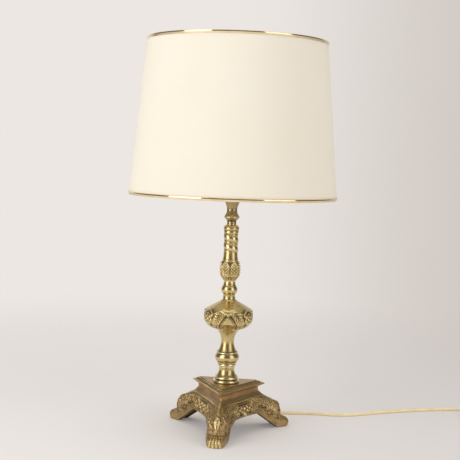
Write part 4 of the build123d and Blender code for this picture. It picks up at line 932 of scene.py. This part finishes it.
# Shade: cream cloth laminated on stiff card, rolled into a tapered drum and lapped at the rear. It is wrapped
# round the two wire rings of the frame.
shade_bottom, shade_top, shade_low_radius, shade_high_radius, cloth = 339.9, 560.7, 148.5, 127.4, 1.0
shade_middle_radius, thread_width, lap_wide, lap_rise, cloth_rows = 138.0, 0.7, 14.0, 0.6, 30
seam_turn = math.pi / 2 + view_turn
cloth_radius = np.linspace(shade_low_radius, shade_high_radius, cloth_rows)
cloth_outside = np.stack([cloth_radius, np.linspace(shade_bottom, shade_top, cloth_rows)], -1)
shade_points = spun(np.concatenate([cloth_outside, cloth_outside[::-1] - [cloth, 0]]), 540)
seam_gap = polar(shade_points)[0] - seam_turn
seam_arc = shade_middle_radius * ((seam_gap + math.pi) % (2 * math.pi) - math.pi)
lining = np.repeat([0.0, 1.0], cloth_rows)[:, None] + 0 * seam_arc
lap = lap_rise * onset(seam_arc, -lap_wide, 0) * (seam_arc < 0) * (1 - lining)
spoke = shade_points * [1, 1, 0] / np.linalg.norm(shade_points[..., :2], axis=-1, keepdims=True)
shade_points = shade_points + spoke * lap[..., None]
shade_cloth, tree, shader = finish_named("shade_cloth", Roughness=0.85, Sheen_Weight=0.15)
place = link(tree, "ShaderNodeTexCoord").outputs["Object"]
axis = link(tree, "ShaderNodeSeparateXYZ", Vector=place).outputs
around = worked(tree, "ARCTAN2", axis["Y"], axis["X"])
warp = worked(tree, "MULTIPLY", around, 2 * math.pi * shade_middle_radius / thread_width)
weft = worked(tree, "MULTIPLY", axis["Z"], 2 * math.pi / (thread_width * MM))
weave = worked(tree, "MULTIPLY", worked(tree, "SINE", warp), worked(tree, "SINE", weft))
woven = worked(tree, "MULTIPLY_ADD", weave, 0.25, mottle(tree, place, 14.0, 3.0))
face_tone = blend(tree, woven, colour(244, 237, 219), colour(249, 244, 230))
inner_face = link(tree, "ShaderNodeAttribute", {"attribute_name": "lining"}).outputs["Fac"]
cloth_tone = blend(tree, inner_face, face_tone, colour(244, 240, 230))
bump = link(tree, "ShaderNodeBump", Height=weave, Distance=0.00002).outputs["Normal"]
feed(tree, shader, Base_Color=cloth_tone, Normal=bump)
shade = skin("shade_cloth", shade_points, shade_cloth, "shade_cloth", "shade_cover", "shade", lining=lining)

# Trims: two strips of pale gold, mirror bright, rolled with a rounded nose near the top and a long slope
# below it, and glued round the edges of the cloth.
trim_tall, glue = 4.6, 0.06
trim_profile = np.array([(0.0, 0.0), (0.95, 1.8), (1.4, 2.6), (1.3, 4.0), (0.0, trim_tall)])
gold = speckled("gold_trim", (242, 219, 170), (251, 234, 196), 60.0, (0.06, 0.12), 0.00001, 1.0)


def gold_strip(name, low, stands_for):
    """A strip laid on the cloth: a rounded profile, carried out by the cone's radius at each height."""
    slope = (shade_high_radius - shade_low_radius) / (shade_top - shade_bottom)
    proud, rise = softened(trim_profile, 0.12, 0.3).T
    level = low + trim_tall * (rise - rise[0]) / (rise[-1] - rise[0])
    cone = shade_low_radius + slope * (level - shade_bottom)
    line = np.stack([cone + glue + proud - proud.min(), level], -1)
    return skin(name, spun(line, 360), gold, "gold_trim", stands_for, "shade")


bottom_strip = gold_strip("bottom_gold", shade_bottom, "bottom_trim")
top_strip = gold_strip("top_gold", shade_top - trim_tall, "top_trim")

# Shade frame: welded wire lacquered cream. A ring in each edge keeps the cloth round, and three arms carry
# the bottom ring from the fitter that the lampholder's rings clamp.
wire = speckled("shade_wire", (214, 204, 180), (228, 220, 198), 150.0, (0.35, 0.5), 0.00004)
dress(wire, "top_ring", "bottom_ring", "shade_arms", "shade_fitter")

# Floor and light: a pale table top that fades into the pale background, a strong soft box to the left of
# the camera, a weaker one to its right and one above, and a dim warm room.
to_right = (math.cos(view_turn), math.sin(view_turn), 0)
to_rear = (-math.sin(view_turn), math.cos(view_turn), 0)
floor_colour, painted_left_level, painted_right_level, painted_glow_strength = np.array(colour(245, 242, 241)[:3]), 0.8, 0.71, 0.147


def along(tree, place, way):
    """How far a place lies along a direction."""
    return link(tree, "ShaderNodeVectorMath", {"operation": "DOT_PRODUCT"}, _0=place, _1=way).outputs["Value"]


floor_mesh = bpy.data.meshes.new("floor")
floor_mesh.from_pydata([(-2, -2, 0), (2, -2, 0), (2, 2, 0), (-2, 2, 0)], [], [(0, 1, 2, 3)])
floor = bpy.data.objects.new("floor", floor_mesh)
scene.collection.objects.link(floor)
floor_paint, tree, shader = finish_named("floor_paint", Roughness=0.9, Emission_Color=(*floor_colour, 1))
ray = link(tree, "ShaderNodeLightPath").outputs
place = link(tree, "ShaderNodeTexCoord").outputs["Object"]
in_glass = worked(tree, "MAXIMUM", ray["Is Glossy Ray"], ray["Is Transmission Ray"])
looked_at = worked(tree, "MAXIMUM", ray["Is Camera Ray"], in_glass)
# Seen by the camera, in metal and in glass, the floor takes a dimmer colour that darkens further to the right
# as painted shade away from the left soft box. It also glows faintly, a painted light that lifts its shadows.
# Other rays see the plain floor colour.
painted_falloff_tones = (*(painted_left_level * floor_colour), 1), (*(painted_right_level * floor_colour), 1)
painted_falloff = blend(tree, ramp(tree, along(tree, place, to_right), 0.0, 0.3), *painted_falloff_tones)
painted_glow = worked(tree, "MULTIPLY", looked_at, painted_glow_strength)
feed(tree, shader, Base_Color=blend(tree, looked_at, (*floor_colour, 1), painted_falloff), Emission_Strength=painted_glow)
far = link(tree, "ShaderNodeVectorMath", {"operation": "LENGTH"}, _0=place).outputs["Value"]
straight = worked(tree, "SUBTRACT", 1.0, ray["Is Glossy Ray"])
faded = worked(tree, "MULTIPLY", ramp(tree, far, 0.1, 1.4), straight)
gone = worked(tree, "MAXIMUM", faded, link(tree, "ShaderNodeNewGeometry").outputs["Backfacing"])
see_through = link(tree, "ShaderNodeBsdfTransparent").outputs[0]
fade = link(tree, "ShaderNodeMixShader", _0=gone, _1=shader.outputs[0], _2=see_through).outputs[0]
feed(tree, tree.nodes["Material Output"], Surface=fade)
floor_mesh.materials.append(floor_paint)

world = bpy.data.worlds.new("room")
scene.world = world
world.use_nodes = True
tree = world.node_tree
ray = link(tree, "ShaderNodeLightPath").outputs
direction = link(tree, "ShaderNodeTexCoord").outputs["Generated"]
# The backdrop darkens towards the right as painted shade, away from the left soft box.
backdrop_painted_shade = ramp(tree, along(tree, direction, to_right), -0.02, 0.26)
paper = blend(tree, backdrop_painted_shade, colour(236, 231, 226), colour(208, 201, 196))
behind = ramp(tree, along(tree, direction, to_rear), 0.45, 0.9)
mirrored = worked(tree, "MULTIPLY", ray["Is Glossy Ray"], behind)
seen = worked(tree, "MAXIMUM", ray["Is Camera Ray"], ray["Is Transmission Ray"])
shown = worked(tree, "MAXIMUM", seen, mirrored)
dim = blend(tree, ray["Is Glossy Ray"], (0.48, 0.45, 0.42, 1), (0.15, 0.13, 0.105, 1))
feed(tree, tree.nodes["Background"], Color=blend(tree, shown, dim, paper))


def soft_box(name, width, height, watts, place):
    """A soft box of a width and height, which shines along its own -Z from its place."""
    light = bpy.data.lights.new(name, "AREA")
    light.shape, light.size, light.size_y, light.energy = "RECTANGLE", width, height, watts
    box = bpy.data.objects.new(name, light)
    box.matrix_world = place
    box.visible_camera = False
    scene.collection.objects.link(box)


box_wide, box_tall, box_away, off_floor = 0.8, 1.5, 1.25, 0.02
for name, azimuth, watts in (("soft_box_left", -50, 9.2), ("soft_box_right", 50, 5.0)):
    facing = Matrix.Rotation(math.radians(azimuth) + view_turn, 4, "Z")
    spot = facing @ Matrix.Translation((0, -box_away, box_tall / 2 + off_floor))
    soft_box(name, box_wide, box_tall, watts, spot @ Matrix.Rotation(math.pi / 2, 4, "X"))
soft_box("soft_box_above", 1.6, 1.6, 10.2, Matrix.Translation((0, 0.1, 1.9)))
